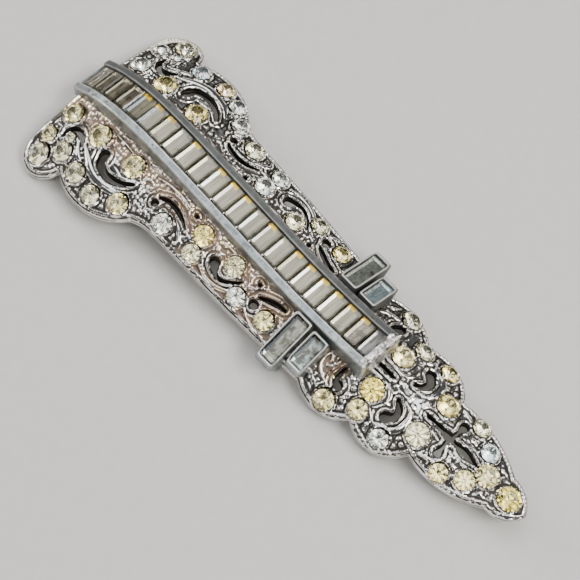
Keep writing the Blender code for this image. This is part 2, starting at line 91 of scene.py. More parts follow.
# Fineness of curves, slopes and surfaces, and how far from openings and scrolls their distance is worked out
FRAME_ARC_STEP = math.radians(30)
FINE_ARC_STEP = math.radians(6)
STRAIGHT_SHARE = 0.001
CROWN_STEPS, CHANNEL_STEPS, OPENING_STEPS, SCROLL_STEPS = 4, 5, 6, 5
SLOPE_STEP = 0.1 * MM
TURN_STEP = 0.2 * MM
GRID = 0.1 * MM
STATION = 0.12 * MM
CUT_STEP = 0.2 * GRID
CUT_PASSES = 3
GAP_RANGE, SCROLL_RANGE = 2.0 * MM, 1.0 * MM
TINY = 1e-9

# Angles up to which a piece's edges are shaded smooth
SMOOTH_ANGLE, CASTING_ANGLE, BLOCK_ANGLE = math.radians(50), math.radians(55), math.radians(60)

# Fixed noise: its seed, its large numbers, and a salt for each use
SEED = 7
HASH, HASH_SCALE = (127.1, 311.7, 74.7), 43758.5453
BEAD_SALTS, TURN_SALT, SWELL_SALT, WAVE_SALT = (1, 2, 3), 4, 5, 6
BAR_SALT, RAIL_SALTS, LIP_SALT, BLOCK_SALTS = 8, (11, 12), 14, (21, 22)

# Crown line of the face: along, height as a share of CROWN_FALL
CROWN_LINE = (
    (-1.00, -1.00), (-0.67, -0.64), (-0.34, -0.36), (0.00, 0.00), (0.33, 0.46),
    (0.50, 0.55), (0.66, 0.42), (0.83, -0.07), (1.00, -0.95),
)

# Outline of the right half from the top edge to the point: across, along, and the bulge of the arc that ends
# there as a share of HALF_WIDTH
OUTLINE = (
    (0.00, 0.962, 0.000),
    (0.79, 0.965, 0.000),
    (0.835, 0.800, 0.190),
    (0.70, 0.508, 0.150),
    (0.645, 0.420, -0.015),
    (0.565, -0.225, 0.010),
    (0.473, -0.425, 0.100),
    (0.331, -0.625, 0.125),
    (0.177, -0.895, 0.075),
    (0.00, -0.997, 0.055),
)

# Pierced openings of the right half: across, along, half width as a share of OPENING_WIDTH, which the trim
# makes narrower
OPENINGS = {
    "ear_hook": ((0.60, 0.880, 0.12), (0.53, 0.878, 0.26), (0.482, 0.856, 0.33), (0.497, 0.828, 0.28),
                 (0.56, 0.803, 0.10)),
    "upper_comma": ((0.48, 0.720, 0.48), (0.555, 0.708, 0.40), (0.59, 0.680, 0.33), (0.592, 0.645, 0.33),
                    (0.555, 0.608, 0.27), (0.485, 0.576, 0.10)),
    "upper_eye": ((0.462, 0.486, 0.28), (0.462, 0.482, 0.28)),
    "upper_crescent": ((0.400, 0.484, 0.10), (0.372, 0.460, 0.20), (0.365, 0.424, 0.20),
                       (0.39, 0.385, 0.16), (0.432, 0.353, 0.05)),
    "upper_pinhole": ((0.285, 0.358, 0.16), (0.285, 0.354, 0.16)),
    "middle_comma": ((0.438, 0.213, 0.50), (0.480, 0.196, 0.26), (0.500, 0.174, 0.14), (0.485, 0.150, 0.13),
                     (0.440, 0.128, 0.11), (0.378, 0.107, 0.07)),
    "middle_pinhole": ((0.285, 0.064, 0.16), (0.285, 0.060, 0.16)),
    "lower_eye": ((0.430, 0.035, 0.38), (0.430, 0.031, 0.38)),
    "lower_crescent": ((0.355, 0.034, 0.12), (0.322, 0.008, 0.22), (0.292, -0.022, 0.22),
                       (0.278, -0.052, 0.14)),
    "wing_comma": ((0.378, -0.328, 0.44), (0.345, -0.311, 0.25), (0.285, -0.308, 0.17),
                   (0.240, -0.308, 0.15)),
    "heart": ((0.277, -0.497, 0.48), (0.225, -0.516, 0.38), (0.155, -0.512, 0.30), (0.102, -0.490, 0.18)),
    "slot": ((0.0, -0.372, 0.24), (0.0, -0.425, 0.24)),
    "spear": ((0.0, -0.582, 0.12), (0.0, -0.640, 0.25), (0.0, -0.672, 0.42), (0.0, -0.700, 0.22),
              (0.0, -0.740, 0.44), (0.0, -0.792, 0.06)),
    "cross_bar": ((0.160, -0.684, 0.42), (0.100, -0.682, 0.18), (0.0, -0.682, 0.26)),
}

# Raised scrolls of the right half: across, along, half width in shares of the scroll width
SCROLLS = (
    ((0.540, 0.792, 0.3), (0.605, 0.755, 0.7), (0.662, 0.715, 0.9), (0.684, 0.675, 1.0),
     (0.665, 0.622, 0.9), (0.622, 0.588, 0.6), (0.550, 0.562, 0.2)),
    ((0.400, 0.838, 0.2), (0.398, 0.856, 0.4), (0.430, 0.884, 0.35), (0.500, 0.900, 0.3),
     (0.580, 0.900, 0.2)),
    ((0.300, 0.800, 0.15), (0.285, 0.745, 0.4), (0.290, 0.690, 0.4), (0.305, 0.640, 0.15)),
    ((0.530, 0.690, 0.1), (0.505, 0.665, 0.5), (0.520, 0.625, 0.45), (0.470, 0.575, 0.35),
     (0.340, 0.548, 0.15)),
    ((0.590, 0.812, 0.4), (0.640, 0.790, 0.6), (0.665, 0.762, 0.3)),
    ((0.300, 0.540, 0.2), (0.268, 0.490, 0.4), (0.262, 0.430, 0.4), (0.285, 0.378, 0.15)),
    ((0.520, 0.470, 0.2), (0.560, 0.490, 0.45), (0.590, 0.475, 0.2)),
    ((0.440, 0.390, 0.2), (0.490, 0.360, 0.5), (0.545, 0.340, 0.5), (0.590, 0.350, 0.2)),
    ((0.440, 0.350, 0.2), (0.455, 0.325, 0.4), (0.445, 0.270, 0.4), (0.470, 0.245, 0.2)),
    ((0.545, 0.245, 0.2), (0.580, 0.205, 0.5), (0.570, 0.160, 0.55), (0.520, 0.122, 0.4),
     (0.430, 0.098, 0.2)),
    ((0.262, 0.240, 0.2), (0.258, 0.195, 0.35), (0.245, 0.135, 0.2)),
    ((0.410, 0.094, 0.2), (0.360, 0.078, 0.4), (0.330, 0.055, 0.35), (0.250, 0.032, 0.2)),
    ((0.500, 0.048, 0.2), (0.540, 0.028, 0.35), (0.565, -0.010, 0.35), (0.545, -0.050, 0.2)),
    ((0.250, -0.240, 0.2), (0.330, -0.240, 0.4), (0.380, -0.250, 0.5), (0.430, -0.285, 0.4),
     (0.440, -0.330, 0.2)),
    ((0.460, -0.245, 0.2), (0.490, -0.262, 0.45), (0.520, -0.270, 0.2)),
    ((0.085, -0.362, 0.3), (0.076, -0.410, 0.5), (0.090, -0.450, 0.5), (0.150, -0.468, 0.4),
     (0.210, -0.468, 0.2)),
    ((0.330, -0.455, 0.2), (0.372, -0.480, 0.4), (0.348, -0.522, 0.7), (0.280, -0.550, 0.8),
     (0.180, -0.553, 0.7), (0.095, -0.542, 0.5), (0.062, -0.500, 0.2)),
    ((0.092, -0.578, 0.3), (0.070, -0.620, 0.5), (0.092, -0.655, 0.3)),
    ((0.285, -0.640, 0.2), (0.255, -0.675, 0.45), (0.215, -0.715, 0.3)),
    ((0.065, -0.715, 0.3), (0.085, -0.755, 0.4), (0.055, -0.800, 0.3)),
    ((0.000, -0.960, 0.5), (0.040, -0.950, 0.5), (0.090, -0.900, 0.3)),
)

# Round beads: side (0 for both), across, along, radius in millimetres
BEADS = (
    (1, 0.353, 0.574, 0.34), (1, 0.338, 0.548, 0.32), (1, 0.279, 0.377, 0.30), (1, 0.297, 0.353, 0.30),
    (1, 0.330, 0.336, 0.34), (1, 0.345, 0.510, 0.20), (1, 0.336, 0.492, 0.20), (1, 0.327, 0.474, 0.20),
    (1, 0.319, 0.456, 0.20), (1, 0.312, 0.438, 0.20), (1, 0.306, 0.420, 0.20), (1, 0.300, 0.402, 0.20),
    (0, 0.300, 0.845, 0.26), (0, 0.285, 0.815, 0.22), (0, 0.520, 0.775, 0.30), (0, 0.575, 0.775, 0.26),
    (0, 0.300, 0.705, 0.24), (0, 0.480, 0.520, 0.26), (0, 0.350, 0.215, 0.28), (0, 0.300, 0.205, 0.22),
    (0, 0.400, -0.270, 0.24), (0, 0.160, -0.345, 0.26), (0, 0.300, -0.370, 0.30), (0, 0.300, -0.405, 0.26),
    (0, 0.120, -0.360, 0.22), (0, 0.330, -0.590, 0.28), (0, 0.300, -0.612, 0.24), (0, 0.120, -0.840, 0.26),
    (0, 0.100, -0.870, 0.22), (0, 0.210, -0.760, 0.22),
)

# Channel line, the level of the baguettes' tables: along, height as a share of CHANNEL_RISE
CHANNEL_LINE = (
    (-0.352, 0.83), (-0.260, 0.62), (-0.130, 0.48), (0.000, 0.46), (0.183, 0.61), (0.361, 0.81),
    (0.542, 0.97), (0.658, 0.99), (0.750, 0.88), (0.833, 0.61), (0.906, 0.22), (0.953, -0.14), (0.997, -0.52),
)

# Trays of the right half: name, stone's length and width, across and along of the stone's middle
TRAYS = (
    ("large", 6.0 * MM, 1.95 * MM, 0.477, -0.123),
    ("small", 3.95 * MM, 1.8 * MM, 0.417, -0.201),
)

# Round stones: name, across, along, diameter share, lead of the right one, sides, their tints
STONES = (
    ("ear", 0.848, 0.886, 1.10, -0.011, (-1, 1), ("pale", "pale")),
    ("shoulder", 0.390, 0.783, 1.12, 0.004, (-1, 1), ("champagne", "yellow")),
    ("breast", 0.380, 0.625, 1.10, 0.007, (-1, 1), ("champagne", "yellow")),
    ("flank", 0.358, 0.297, 0.98, 0.000, (-1, 1), ("yellow", "clear")),
    ("wing", 0.198, -0.406, 1.08, 0.006, (-1, 1), ("honey", "champagne")),
    ("heart", 0.181, -0.603, 1.08, 0.000, (-1, 1), ("pale", "yellow")),
    ("point", 0.000, -0.928, 1.10, 0.000, (0,), ("honey",)),
    ("top_inner", 0.392, 0.911, 1.00, -0.001, (-1, 1), ("champagne", "clear")),
    ("top_middle", 0.665, 0.922, 0.80, 0.001, (-1, 1), ("champagne", "clear")),
    ("ear_lower", 0.702, 0.836, 0.98, 0.000, (-1,), ("pale",)),
    ("ear_small", 0.568, 0.852, 0.50, 0.000, (-1,), ("pale",)),
    ("ear_seed", 0.700, 0.862, 0.55, 0.000, (1,), ("clear",)),
    ("edge_1", 0.757, 0.753, 0.97, 0.006, (-1, 1), ("pale", "ice")),
    ("edge_2", 0.800, 0.656, 0.92, 0.000, (-1, 1), ("pale", "amber")),
    ("edge_3", 0.690, 0.567, 1.00, 0.000, (-1,), ("champagne",)),
    ("edge_4", 0.750, 0.578, 0.95, 0.000, (1,), ("clear",)),
    ("edge_5", 0.615, 0.512, 0.95, 0.000, (1,), ("clear",)),
    ("side_1", 0.540, 0.417, 0.96, 0.000, (-1, 1), ("clear", "pale")),
    ("side_2", 0.528, 0.287, 0.88, 0.003, (-1, 1), ("pale", "clear")),
    ("inner_1", 0.338, 0.152, 0.94, -0.006, (-1, 1), ("smoke", "pale")),
    ("side_3", 0.495, 0.089, 0.88, 0.001, (-1, 1), ("clear", "smoke")),
    ("inner_2", 0.460, -0.026, 0.90, 0.001, (-1, 1), ("champagne", "yellow")),
    ("wing_outer", 0.530, -0.327, 1.00, 0.001, (-1, 1), ("champagne", "pale")),
    ("wing_edge", 0.390, -0.426, 0.92, -0.003, (-1, 1), ("champagne", "pale")),
    ("heart_outer", 0.425, -0.530, 0.90, 0.000, (-1, 1), ("clear", "yellow")),
    ("foot_outer", 0.272, -0.724, 0.88, 0.004, (-1, 1), ("champagne", "pale")),
    ("foot_inner", 0.161, -0.794, 0.90, 0.003, (-1, 1), ("champagne", "ice")),
    ("foot_middle", 0.000, -0.836, 1.05, 0.000, (0,), ("champagne",)),
)

# Casting: its parts in x and y, which meet at the seam, and the stretch that the channel hides
SEAM = -4.4 * MM
REACH = (13.4 * MM, 36.4 * MM)
CASTING_PARTS = (
    ("casting_left", (-REACH[0], 0.0), (SEAM, REACH[1])),
    ("casting_right", (0.0, REACH[0]), (SEAM, REACH[1])),
    ("casting_tip", (-REACH[0], REACH[0]), (-REACH[1], SEAM)),
)
HIDDEN_HALF_WIDTH = 1.5 * MM
CHANNEL_START, CHANNEL_STOP = -12.2 * MM, 34.2 * MM

# Steps down the casting's side wall in millimetres: how far out it stands and its height over the face
WALL_STEPS = (
    (0.03, -0.06), (0.05, -0.20), (0.04, -0.42), (-0.09, -0.50), (-0.09, -0.62), (0.05, -0.70), (0.07, -0.84),
    (0.04, -1.02), (-0.04, -1.17),
)

# Beaded ground: least and range of a bead's shift and radius in its cell, then sizes and heights of the beads
# as shares of the panel's, of their swell and of the waves
BEAD_SHIFT, BEAD_RADIUS = (0.2, 0.6), (0.55, 0.3)
TIP_LUMP_SIZE, TIP_LUMP_HEIGHT = 1.35, 1.25
FINE_BEAD_SIZE, FINE_BEAD_HEIGHT = 0.6, 0.45
RIGHT_GROUND, GROUND_SINK = 0.75, 0.5
SWELL_SIZE, SWELL_LEAST, SWELL_RANGE = 1.6 * MM, 0.6, 0.8
WAVE_SIZE, WAVE_HEIGHT = 1.1 * MM, 0.10 * MM

# Rims: middle and half width of each hump, and the range where it starts, in half widths of a rim. The outer
# line's height is a share of the rim's. Pearls: where they start, length, depth, slant and the part with the
# painted highlight.
EDGE_RIM, EDGE_START, EDGE_GROOVE = (1.0, 1.0), (-0.2, 0.5), (2.4, 0.7)
GAP_RIM, GAP_START, GAP_GROOVE = (0.9, 1.0), (-0.3, 0.5), (1.95, 0.5)
OUTER_LINE, OUTER_LINE_HEIGHT, TIP_LINE_SHARE = (2.75, 0.6), 0.60, 0.4
PEARL_SIDE, EDGE_PEARL, PEARL_DEPTH, PEARL_SLANT = (0.0, 1.0 * MM), 0.50 * MM, 0.20, 0.5
PEARL_HIGHLIGHT = (0.8, 0.95)

# Wide ribbed rim of the right ear: its middle, where it starts in x, y and turn, its height, humps and ribs
EAR, EAR_RADIUS = (10.0 * MM, 31.8 * MM), 3.0 * MM
EAR_ACROSS, EAR_ALONG, EAR_TURN = (7.2 * MM, 8.2 * MM), (29.5 * MM, 30.2 * MM), (-0.9, -0.5)
EAR_HEIGHT, EAR_RIM, EAR_GROOVE = 0.46 * MM, (0.42 * MM, 0.58 * MM), (1.08 * MM, 0.20 * MM)
EAR_RIB, EAR_RIB_DEPTH = 0.46 * MM, 0.24
# Rim height over which the ear rim and the pearls turn satin and take a painted highlight
SATIN_HIGHLIGHT_RIM = (0.05 * MM, 0.2 * MM)

# Scrolls, beads, collars and seats: shares of a round wire or bead, and humps beyond a bead's or stone's edge
SCROLL_STAND, SCROLL_LIFT, BEAD_STAND = 0.62, 0.10 * MM, 1.05
BEAD_GROOVE = (0.12 * MM, 0.14 * MM)
COLLAR, COLLAR_HEIGHT, COLLAR_GROOVE = (0.10 * MM, 0.16 * MM), 0.38 * MM, (0.34 * MM, 0.13 * MM)
SEAT_EDGE, SEAT_DEPTH = (-0.16 * MM, 0.02 * MM), 1.02 * MM
GROOVE_CALM, GROOVE_DEPTH, RAISED_SINK = 0.8, 0.16 * MM, 0.02 * MM

# Warm tone: beside the rails, from a start to a reach on each side, and in a band along the left edge
WARM_START, WARM_REACH, WARM_SHARE = 3.8 * MM, (7.6 * MM, 5.4 * MM), (0.95, 0.45)
WARM_ALONG, BRIGHT_BEAD = (-12.5 * MM, -11.0 * MM), 0.1 * MM
BAND_ACROSS, BAND_OUTER, BAND_INNER = (5.0 * MM, 6.0 * MM), (0.3 * MM, 0.5 * MM), (0.9 * MM, 1.5 * MM)
BAND_LOW, BAND_HIGH = (-3.5 * MM, -2.0 * MM), (11.0 * MM, 13.0 * MM)

# Tarnish with painted shade in the recesses: its value where a place is level with its surroundings, the
# depth that adds 1, the surroundings' reach in grid steps, what the tip takes off, and the painted shade the
# openings' walls add
CAVITY_LEVEL, CAVITY_DEPTH, CAVITY_REACH = 0.5, 0.19 * MM, 3
TIP_BRIGHTNESS, WALL_PAINTED_SHADE = 0.05, 0.4

# Tones that only one finish uses
DULL_SILVER = (0.55, 0.53, 0.50)
PALE_RAIL = (0.42, 0.46, 0.465)
RAIL_SPECK = (0.15, 0.165, 0.155)
RAIL_PIT = (0.05, 0.045, 0.04)
STEEL_STAIN = (0.30, 0.24, 0.17)
CLEAR_GLASS = (1.0, 0.995, 0.97)

# Finishes: where painted shade darkens the rails on the right, the range of a blotch and its shift by a
# stain, and the sockets of a Mix node that take and give colours
PAINTED_SHADE_SIDE = (0.0, 2.0 * MM)
BLOTCH, BLOTCH_SHIFT = (0.62, 0.76), 0.20
MIX_FIRST, MIX_SECOND, MIX_RESULT = 6, 7, 2

# Round cut stones: shares of the radius, and levels of the crown's middle and the pavilion's keel
FACETS = 8
TABLE_SHARE, MIDDLE_SHARE, CROWN_SHARE, MIDDLE_LEVEL = 0.58, 0.60, 0.34, 0.48
PAVILION_SHARE, KEEL_SHARE, KEEL_LEVEL = 0.86, 0.42, 0.60
GIRDLE_LEVEL, GIRDLE_HEIGHT = 0.26 * MM, 0.05 * MM
STONE_FOIL_ROUGHNESS = 0.15

# Step-cut bars: points of a sheet, bevel of the glass, end, edge, fall and level of the foil under it, the
# bar's materials in order, and twice the most that a bar leans and rolls, with the column of its noise
SHEET = (4, 5)
BEVEL = 0.17 * MM
FOIL_END, FOIL_EDGE, FOIL_FALL, FOIL_LEVEL = 0.48 * MM, 0.20, 0.11 * MM, 0.44
GLASS, BODY_FOIL, STRIP_FOIL, END_FOIL = range(4)
STRIP_ROUGHNESS, END_ROUGHNESS = 0.20, 0.30
BAR_LEAN, BAR_ROLL = (0.05, 3), (0.02, 5)

# Foils of the channel's baguettes by number from the lower end: body, stain, upper strip, right end. The
# strip and end foils paint each facet's highlight, yellow reflection or dull shade. The others take
# BAR_FOILS, and those over BROWN_FROM take BROWN_FOILS.
BAR_LOOKS = {
    1: ("grey", 0.35, "grey", "grey"),
    2: ("taupe", 1.0, "brown", "gold"),
    3: ("taupe", 0.3, "dim", "gold"),
    7: ("taupe", 0.1, "taupe", "gold"),
    8: ("taupe", 0.1, "strip", "dim"),
    10: ("taupe", 0.1, "ice", "dim"),
    13: ("taupe", 0.1, "ice", "gold"),
    14: ("taupe", 0.3, "dim", "dim"),
    15: ("taupe", 0.1, "dim", "gold"),
    16: ("taupe", 0.3, "dim", "dim"),
    17: ("taupe", 0.2, "dim", "gold"),
    18: ("taupe", 0.1, "sky", "gold"),
    19: ("taupe", 0.2, "sky", "gold"),
}
BAR_FOILS = ("taupe", 0.1, "strip", "gold")
BROWN_FOILS = ("brown", 0.4, "taupe", "taupe")
BROWN_FROM = 19
# Side baguettes: body, stain, upper strip painted as a highlight, and right end
SIDE_LOOKS = {
    "large_left": ("green", 0.75, "sky", "stain"),
    "large_right": ("olive", 0.3, "ice", "olive"),
    "small_left": ("teal", 0.85, "ice", "stain"),
    "small_right": ("blue", 0.3, "ice", "olive"),
}

# Rails: points of the section, corner, slope of the top, depth of the outer wall, how far its foot sinks
# under the face, depth and size of the worked noise, the crack, and the bright lips of the corners
CORNER_POINTS, TOP_POINTS, WALL_POINTS = 5, 4, 4
RAIL_CORNER, RAIL_SLOPE = 0.16 * MM, 0.10
RAIL_WALL, WALL_TOP_GAP, FOOT_SINK = 1.4 * MM, 0.2 * MM, 1.0 * MM
RAIL_WORK = ((0.05 * MM, 0.9 * MM), (0.03 * MM, 0.35 * MM))
CRACK_PLACE, CRACK_SLANT, CRACK_EDGES = 23.4 * MM, 0.45, (2.4 * MM, 1.95 * MM)
CRACK_HALF_WIDTH, CRACK_DEPTH = 0.12 * MM, 0.10 * MM
INNER_CORNER = slice(2, 2 + CORNER_POINTS)
OUTER_CORNER = slice(INNER_CORNER.stop + TOP_POINTS, INNER_CORNER.stop + TOP_POINTS + CORNER_POINTS)
INNER_LIP, OUTER_LIP, RIGHT_LIP, LIP_SIZE = 0.55, 0.30, 0.45, 0.8 * MM

# End walls of the channel: how much narrower than the rails, length, height and roughness
FOOT_NARROWING, FOOT_LENGTH, FOOT_DEPTH, FOOT_ROUGHNESS = 0.1 * MM, 1.15 * MM, 0.9 * MM, 0.12
FOOT_SHIFT, FOOT_LIFT = 0.05 * MM, 0.03 * MM
HEAD_NARROWING, HEAD_LENGTH, HEAD_HEIGHT = 0.3 * MM, 0.36 * MM, 1.5 * MM
HEAD_BACK, HEAD_DROP = 0.22 * MM, 0.80 * MM

# Trays: wall in rims at the sides, at the inner end and what the outer end adds, where that end starts, its
# round top, the fall of the outer end, and the floor under the stone
TRAY_STEPS, TRAY_TOP_POINTS, TRAY_POWER, TRAY_GAP = 160, 7, 0.16, 0.4 * CLEARANCE
TRAY_SIDE_WALL, TRAY_END_WALL, TRAY_END = 0.62, (0.7, 1.4), (0.55, 0.98)
TRAY_TOP_START, TRAY_TOP_HEIGHT = 0.12 * MM, 0.14 * MM
TRAY_FALL, TRAY_FALL_FROM, TRAY_FALL_SHARE = 0.35 * MM, -1.0 * MM, (0.3, 1.0)
TRAY_INNER_LEVEL, TRAY_OUTER_LEVELS = -1.3 * MM, (-0.5 * MM, -1.4 * MM)
TRAY_LIP, TRAY_LIP_HEIGHT, TRAY_LIP_SHARE = 0.85, 0.10 * MM, (0.3, 0.7)
TRAY_FLOOR, TRAY_FLOOR_DROP, TRAY_FLOOR_POWER, TRAY_FLOOR_STEPS = 0.5 * MM, 0.27 * MM, 0.12, (12, 48)

# Soft blocks: power of the corners, steps down and round, sizes of the cast lumps, the small ones' share and
# the mean of both
BLOCK_POWER, BLOCK_STEPS = 0.22, (48, 96)
BLOCK_LUMPS, SMALL_LUMPS, MEAN_LUMPS = (0.5 * MM, 0.22 * MM), 0.6, 0.8

# Clip: the tongue's section and how its half width changes along it, and the foot's size and place
CLIP_THICKNESS, TONGUE_STEPS, TONGUE_POWER, CLIP_FOOT_POWER = 1.0 * MM, (160, 64), 0.18, 0.14
TONGUE_TIP, TONGUE_TIP_SHARE, TONGUE_TAPER = (-0.02, 0.11), 0.98, 0.25
TONGUE_TAPER_END, TONGUE_HEEL, TONGUE_HEEL_SHARE = 0.8, (0.985, 1.0), 0.15
TONGUE_EDGE, TONGUE_EDGE_SHARE, TONGUE_BOW = (0.9, 1.0), 0.12, 0.05
CLIP_FOOT_WIDTH, CLIP_FOOT_LENGTH = 5.6 * MM, 6.0 * MM

# Floor and camera
FLOOR_SIZE, FLOOR_LEVEL = 8.0, -0.04 * MM
CAMERA_SHIFT = (1.124 * MM, 1.158 * MM)
FIT_OFFSET = 0.3 * MM
SENSOR_WIDTH, CLIP_START = 36.0, 0.01

# Soft lights, aimed at AIM: name, place, size, radiance, colour
AIM = (0.0, 0.0, 5 * MM)
LIGHTS = (
    ("overhead", (0.12, 0.16, 0.50), (0.46, 0.34), 3.0, (0.97, 0.98, 1.0)),
    ("key", (0.08, -0.30, 0.46), (0.28, 0.18), 16.0, (1.0, 0.985, 0.95)),
    ("back_strip", (-0.10, 0.50, 0.24), (0.40, 0.09), 12.0, (1.0, 0.98, 0.94)),
    ("left_fill", (-0.31, 0.12, 0.43), (0.22, 0.16), 2.6, (0.94, 0.98, 1.0)),
    ("sparkle", (-0.15, -0.06, 0.50), (0.12, 0.10), 9.0, (1.0, 0.98, 0.95)),
    ("low_left", (-0.50, -0.10, 0.22), (0.20, 0.12), 3.5, (1.0, 0.96, 0.90)),
    ("low_right", (0.40, -0.24, 0.20), (0.12, 0.08), 7.0, (1.0, 0.90, 0.70)),
)
ROOM_COLOUR, ROOM_STRENGTH = (0.80, 0.84, 0.90, 1.0), 0.10


def colour_property(name, description, default):
    return bpy.props.FloatVectorProperty(name=name, description=description, default=default, subtype="COLOR",
                                         size=3, min=0.0, max=1.0)


def length_property(name, description, default):
    return bpy.props.FloatProperty(name=name, description=description, default=default, unit="LENGTH",
                                   precision=5, min=0.0)


def angle_property(name, description, degrees):
    return bpy.props.FloatProperty(name=name, description=description, default=math.radians(degrees),
                                   subtype="ANGLE")


class ClipMetal(bpy.types.PropertyGroup):
    """Sizes and colours of the casting, the channel and the trays."""
    rim_height: length_property("Rim height", "Height of the rims round the edge and the openings", 0.30 * MM)
    rim_width: length_property("Rim width", "Width of the rims round the edge and the openings", 0.54 * MM)
    scroll_width: length_property("Scroll width", "Half width of the widest raised scroll", 0.52 * MM)
    grain_size: length_property("Grain size", "Distance between the beads of the ground", 0.56 * MM)
    grain_height: length_property("Grain height", "Height of the beads of the ground", 0.22 * MM)
    silver: colour_property("Silver", "Colour of the bright plated casting", (0.93, 0.905, 0.865))
    warm: colour_property("Warm", "Colour of the worn plate beside the rails", (0.70, 0.60, 0.52))
    gilt: colour_property("Gilt", "Colour of the yellow patches of the worn plate", (0.88, 0.74, 0.50))
    # The tarnish, its share and the rust are real patina and also paint the shade in the casting's recesses
    tarnish: colour_property("Tarnish", "Colour of the tarnish in the recesses", (0.030, 0.024, 0.019))
    # Painted highlight: the pale colour of the ear rim and of the right edge's pearls
    ear: colour_property("Ear rim", "Colour of the worn ribbed rim of the right ear", (0.96, 0.92, 0.80))
    rust: colour_property("Rust", "Colour of the brown tarnish beside the rails", (0.210, 0.150, 0.115))
    tarnish_share: bpy.props.FloatProperty(name="Tarnish share", default=0.97, min=0.0, max=1.0,
                                           description="How strong the tarnish in the recesses is",
                                           subtype="FACTOR")
    rail: colour_property("Rail", "Colour of the worn rails and tray ends", (0.25, 0.285, 0.30))
    # Painted shade: the colour the rails turn to on the right side
    dark_rail: colour_property("Dark rail", "Colour of the darker right rail", (0.085, 0.083, 0.078))
    steel: colour_property("Clip steel", "Colour of the clip on the back", (0.55, 0.55, 0.54))


class ClipStones(bpy.types.PropertyGroup):
    """Colours of the stones' foils, seen through the glass."""
    clear: colour_property("Clear", "Foil of the clear stones", (0.97, 0.975, 0.94))
    pale: colour_property("Pale", "Foil of the pale stones", (0.97, 0.945, 0.77))
    champagne: colour_property("Champagne", "Foil of the champagne stones", (0.97, 0.91, 0.63))
    yellow: colour_property("Yellow", "Foil of the yellow stones", (0.97, 0.89, 0.53))
    honey: colour_property("Honey", "Foil of the warmest stones", (0.97, 0.88, 0.43))
    amber: colour_property("Amber", "Foil of the amber stone", (0.98, 0.86, 0.60))
    ice: colour_property("Ice", "Foil of the bluish stones", (0.90, 0.96, 0.98))
    smoke: colour_property("Smoke", "Foil of the dull stones", (0.83, 0.81, 0.64))
    taupe: colour_property("Taupe", "Foil of the baguettes", (0.33, 0.31, 0.225))
    brown: colour_property("Brown", "Foil of the upper baguettes", (0.25, 0.225, 0.17))
    grey: colour_property("Grey", "Foil of the short baguette", (0.26, 0.26, 0.25))
    olive: colour_property("Olive", "Foil of the large right side baguette", (0.56, 0.61, 0.55))
    green: colour_property("Green", "Foil of the large left side baguette", (0.46, 0.47, 0.37))
    blue: colour_property("Blue", "Foil of the small right side baguette", (0.70, 0.86, 0.92))
    teal: colour_property("Teal", "Foil of the small left side baguette", (0.52, 0.62, 0.58))
    # Strip, dim, sky and gold, and ice on a strip, paint a baguette facet's highlight, dull shade and
    # reflections
    strip: colour_property("Strip", "Foil of a baguette's bright upper facet", (0.62, 0.62, 0.59))
    stain: colour_property("Stain", "Brown blotches under the baguettes", (0.045, 0.026, 0.008))
    dim: colour_property("Dim", "Foil of a baguette's dull facet", (0.36, 0.35, 0.27))
    sky: colour_property("Sky", "Foil of a baguette's bluish upper facet", (0.38, 0.43, 0.47))
    gold: colour_property("Gold", "Foil of a baguette's yellow end facet", (1.0, 0.67, 0.05))


class ClipStage(bpy.types.PropertyGroup):
    """The floor and the camera."""
    floor: colour_property("Floor", "Colour of the pale floor", (0.68, 0.665, 0.64))
    lens: bpy.props.FloatProperty(name="Lens", description="Focal length of the camera", default=88.3,
                                  unit="CAMERA", min=1.0)
    distance: length_property("Distance", "Distance of the camera from the middle of the clip", 158.9 * MM)
    elevation: angle_property("Elevation", "Height of the camera's view over the floor", 67.48)
    azimuth: angle_property("Azimuth", "Turn of the camera round the clip", -52.07)
    roll: angle_property("Roll", "Tilt of the camera about its own axis", 9.92)


def metal():
    return bpy.context.scene.clip_metal


def stones():
    return bpy.context.scene.clip_stones


# Curves and the form of the face


def smooth(rows, steps):
    """Curve through rows of numbers: each span is the cubic whose slope at a row is half the step between
    the rows beside it."""
    p = np.asarray(rows, float)
    p = np.vstack([2 * p[0] - p[1], p, 2 * p[-1] - p[-2]])
    t = np.linspace(0, 1, steps, endpoint=False)[None, :, None]
    a, b, c, d = (p[i:len(p) - 3 + i, None, :] for i in range(4))
    line = 2 * b + (c - a) * t + (2 * a - 5 * b + 4 * c - d) * t ** 2 + (3 * b - a - 3 * c + d) * t ** 3
    return np.vstack([0.5 * line.reshape(-1, p.shape[1]), p[-2]])


CROWN = smooth(CROWN_LINE, CROWN_STEPS) * (HALF_LENGTH, CROWN_FALL)


def line_level(line, y):
    """Height of a line of (y, z) points at y, straight on beyond its ends."""
    inner = np.interp(y, line[:, 0], line[:, 1])
    first = (line[1, 1] - line[0, 1]) / (line[1, 0] - line[0, 0])
    last = (line[-1, 1] - line[-2, 1]) / (line[-1, 0] - line[-2, 0])
    return inner + first * np.minimum(y - line[0, 0], 0) + last * np.maximum(y - line[-1, 0], 0)


def face_drop(x, y):
    """The crown line's height less a parabola across, whose depth at the half width is a parabola in y."""
    t = y / HALF_LENGTH
    dome = DOME_DROP * (1 + DOME_FLATTENING * t + DOME_EASING * t * t)
    return line_level(CROWN, y) - dome * (x / HALF_WIDTH) ** 2


def face_slope(x, y):
    """Slopes of the face in x and y, from its height a small step to either side."""
    return ((face_drop(x + SLOPE_STEP, y) - face_drop(x - SLOPE_STEP, y)) / (2 * SLOPE_STEP),
            (face_drop(x, y + SLOPE_STEP) - face_drop(x, y - SLOPE_STEP)) / (2 * SLOPE_STEP))


def face_normal(x, y):
    """Unit normal of the face: minus its slope in x, minus its slope in y, and 1, scaled to length 1."""
    slope_x, slope_y = face_slope(x, y)
    normal = np.array((-slope_x, -slope_y, 1.0))
    return normal / np.linalg.norm(normal)


def underside_depth(x, y):
    """Depth of the casting's underside straight under its face: its thickness over the slope's cosine."""
    slope_x, slope_y = face_slope(x, y)
    return PLATE_THICKNESS * np.sqrt(1 + slope_x ** 2 + slope_y ** 2)


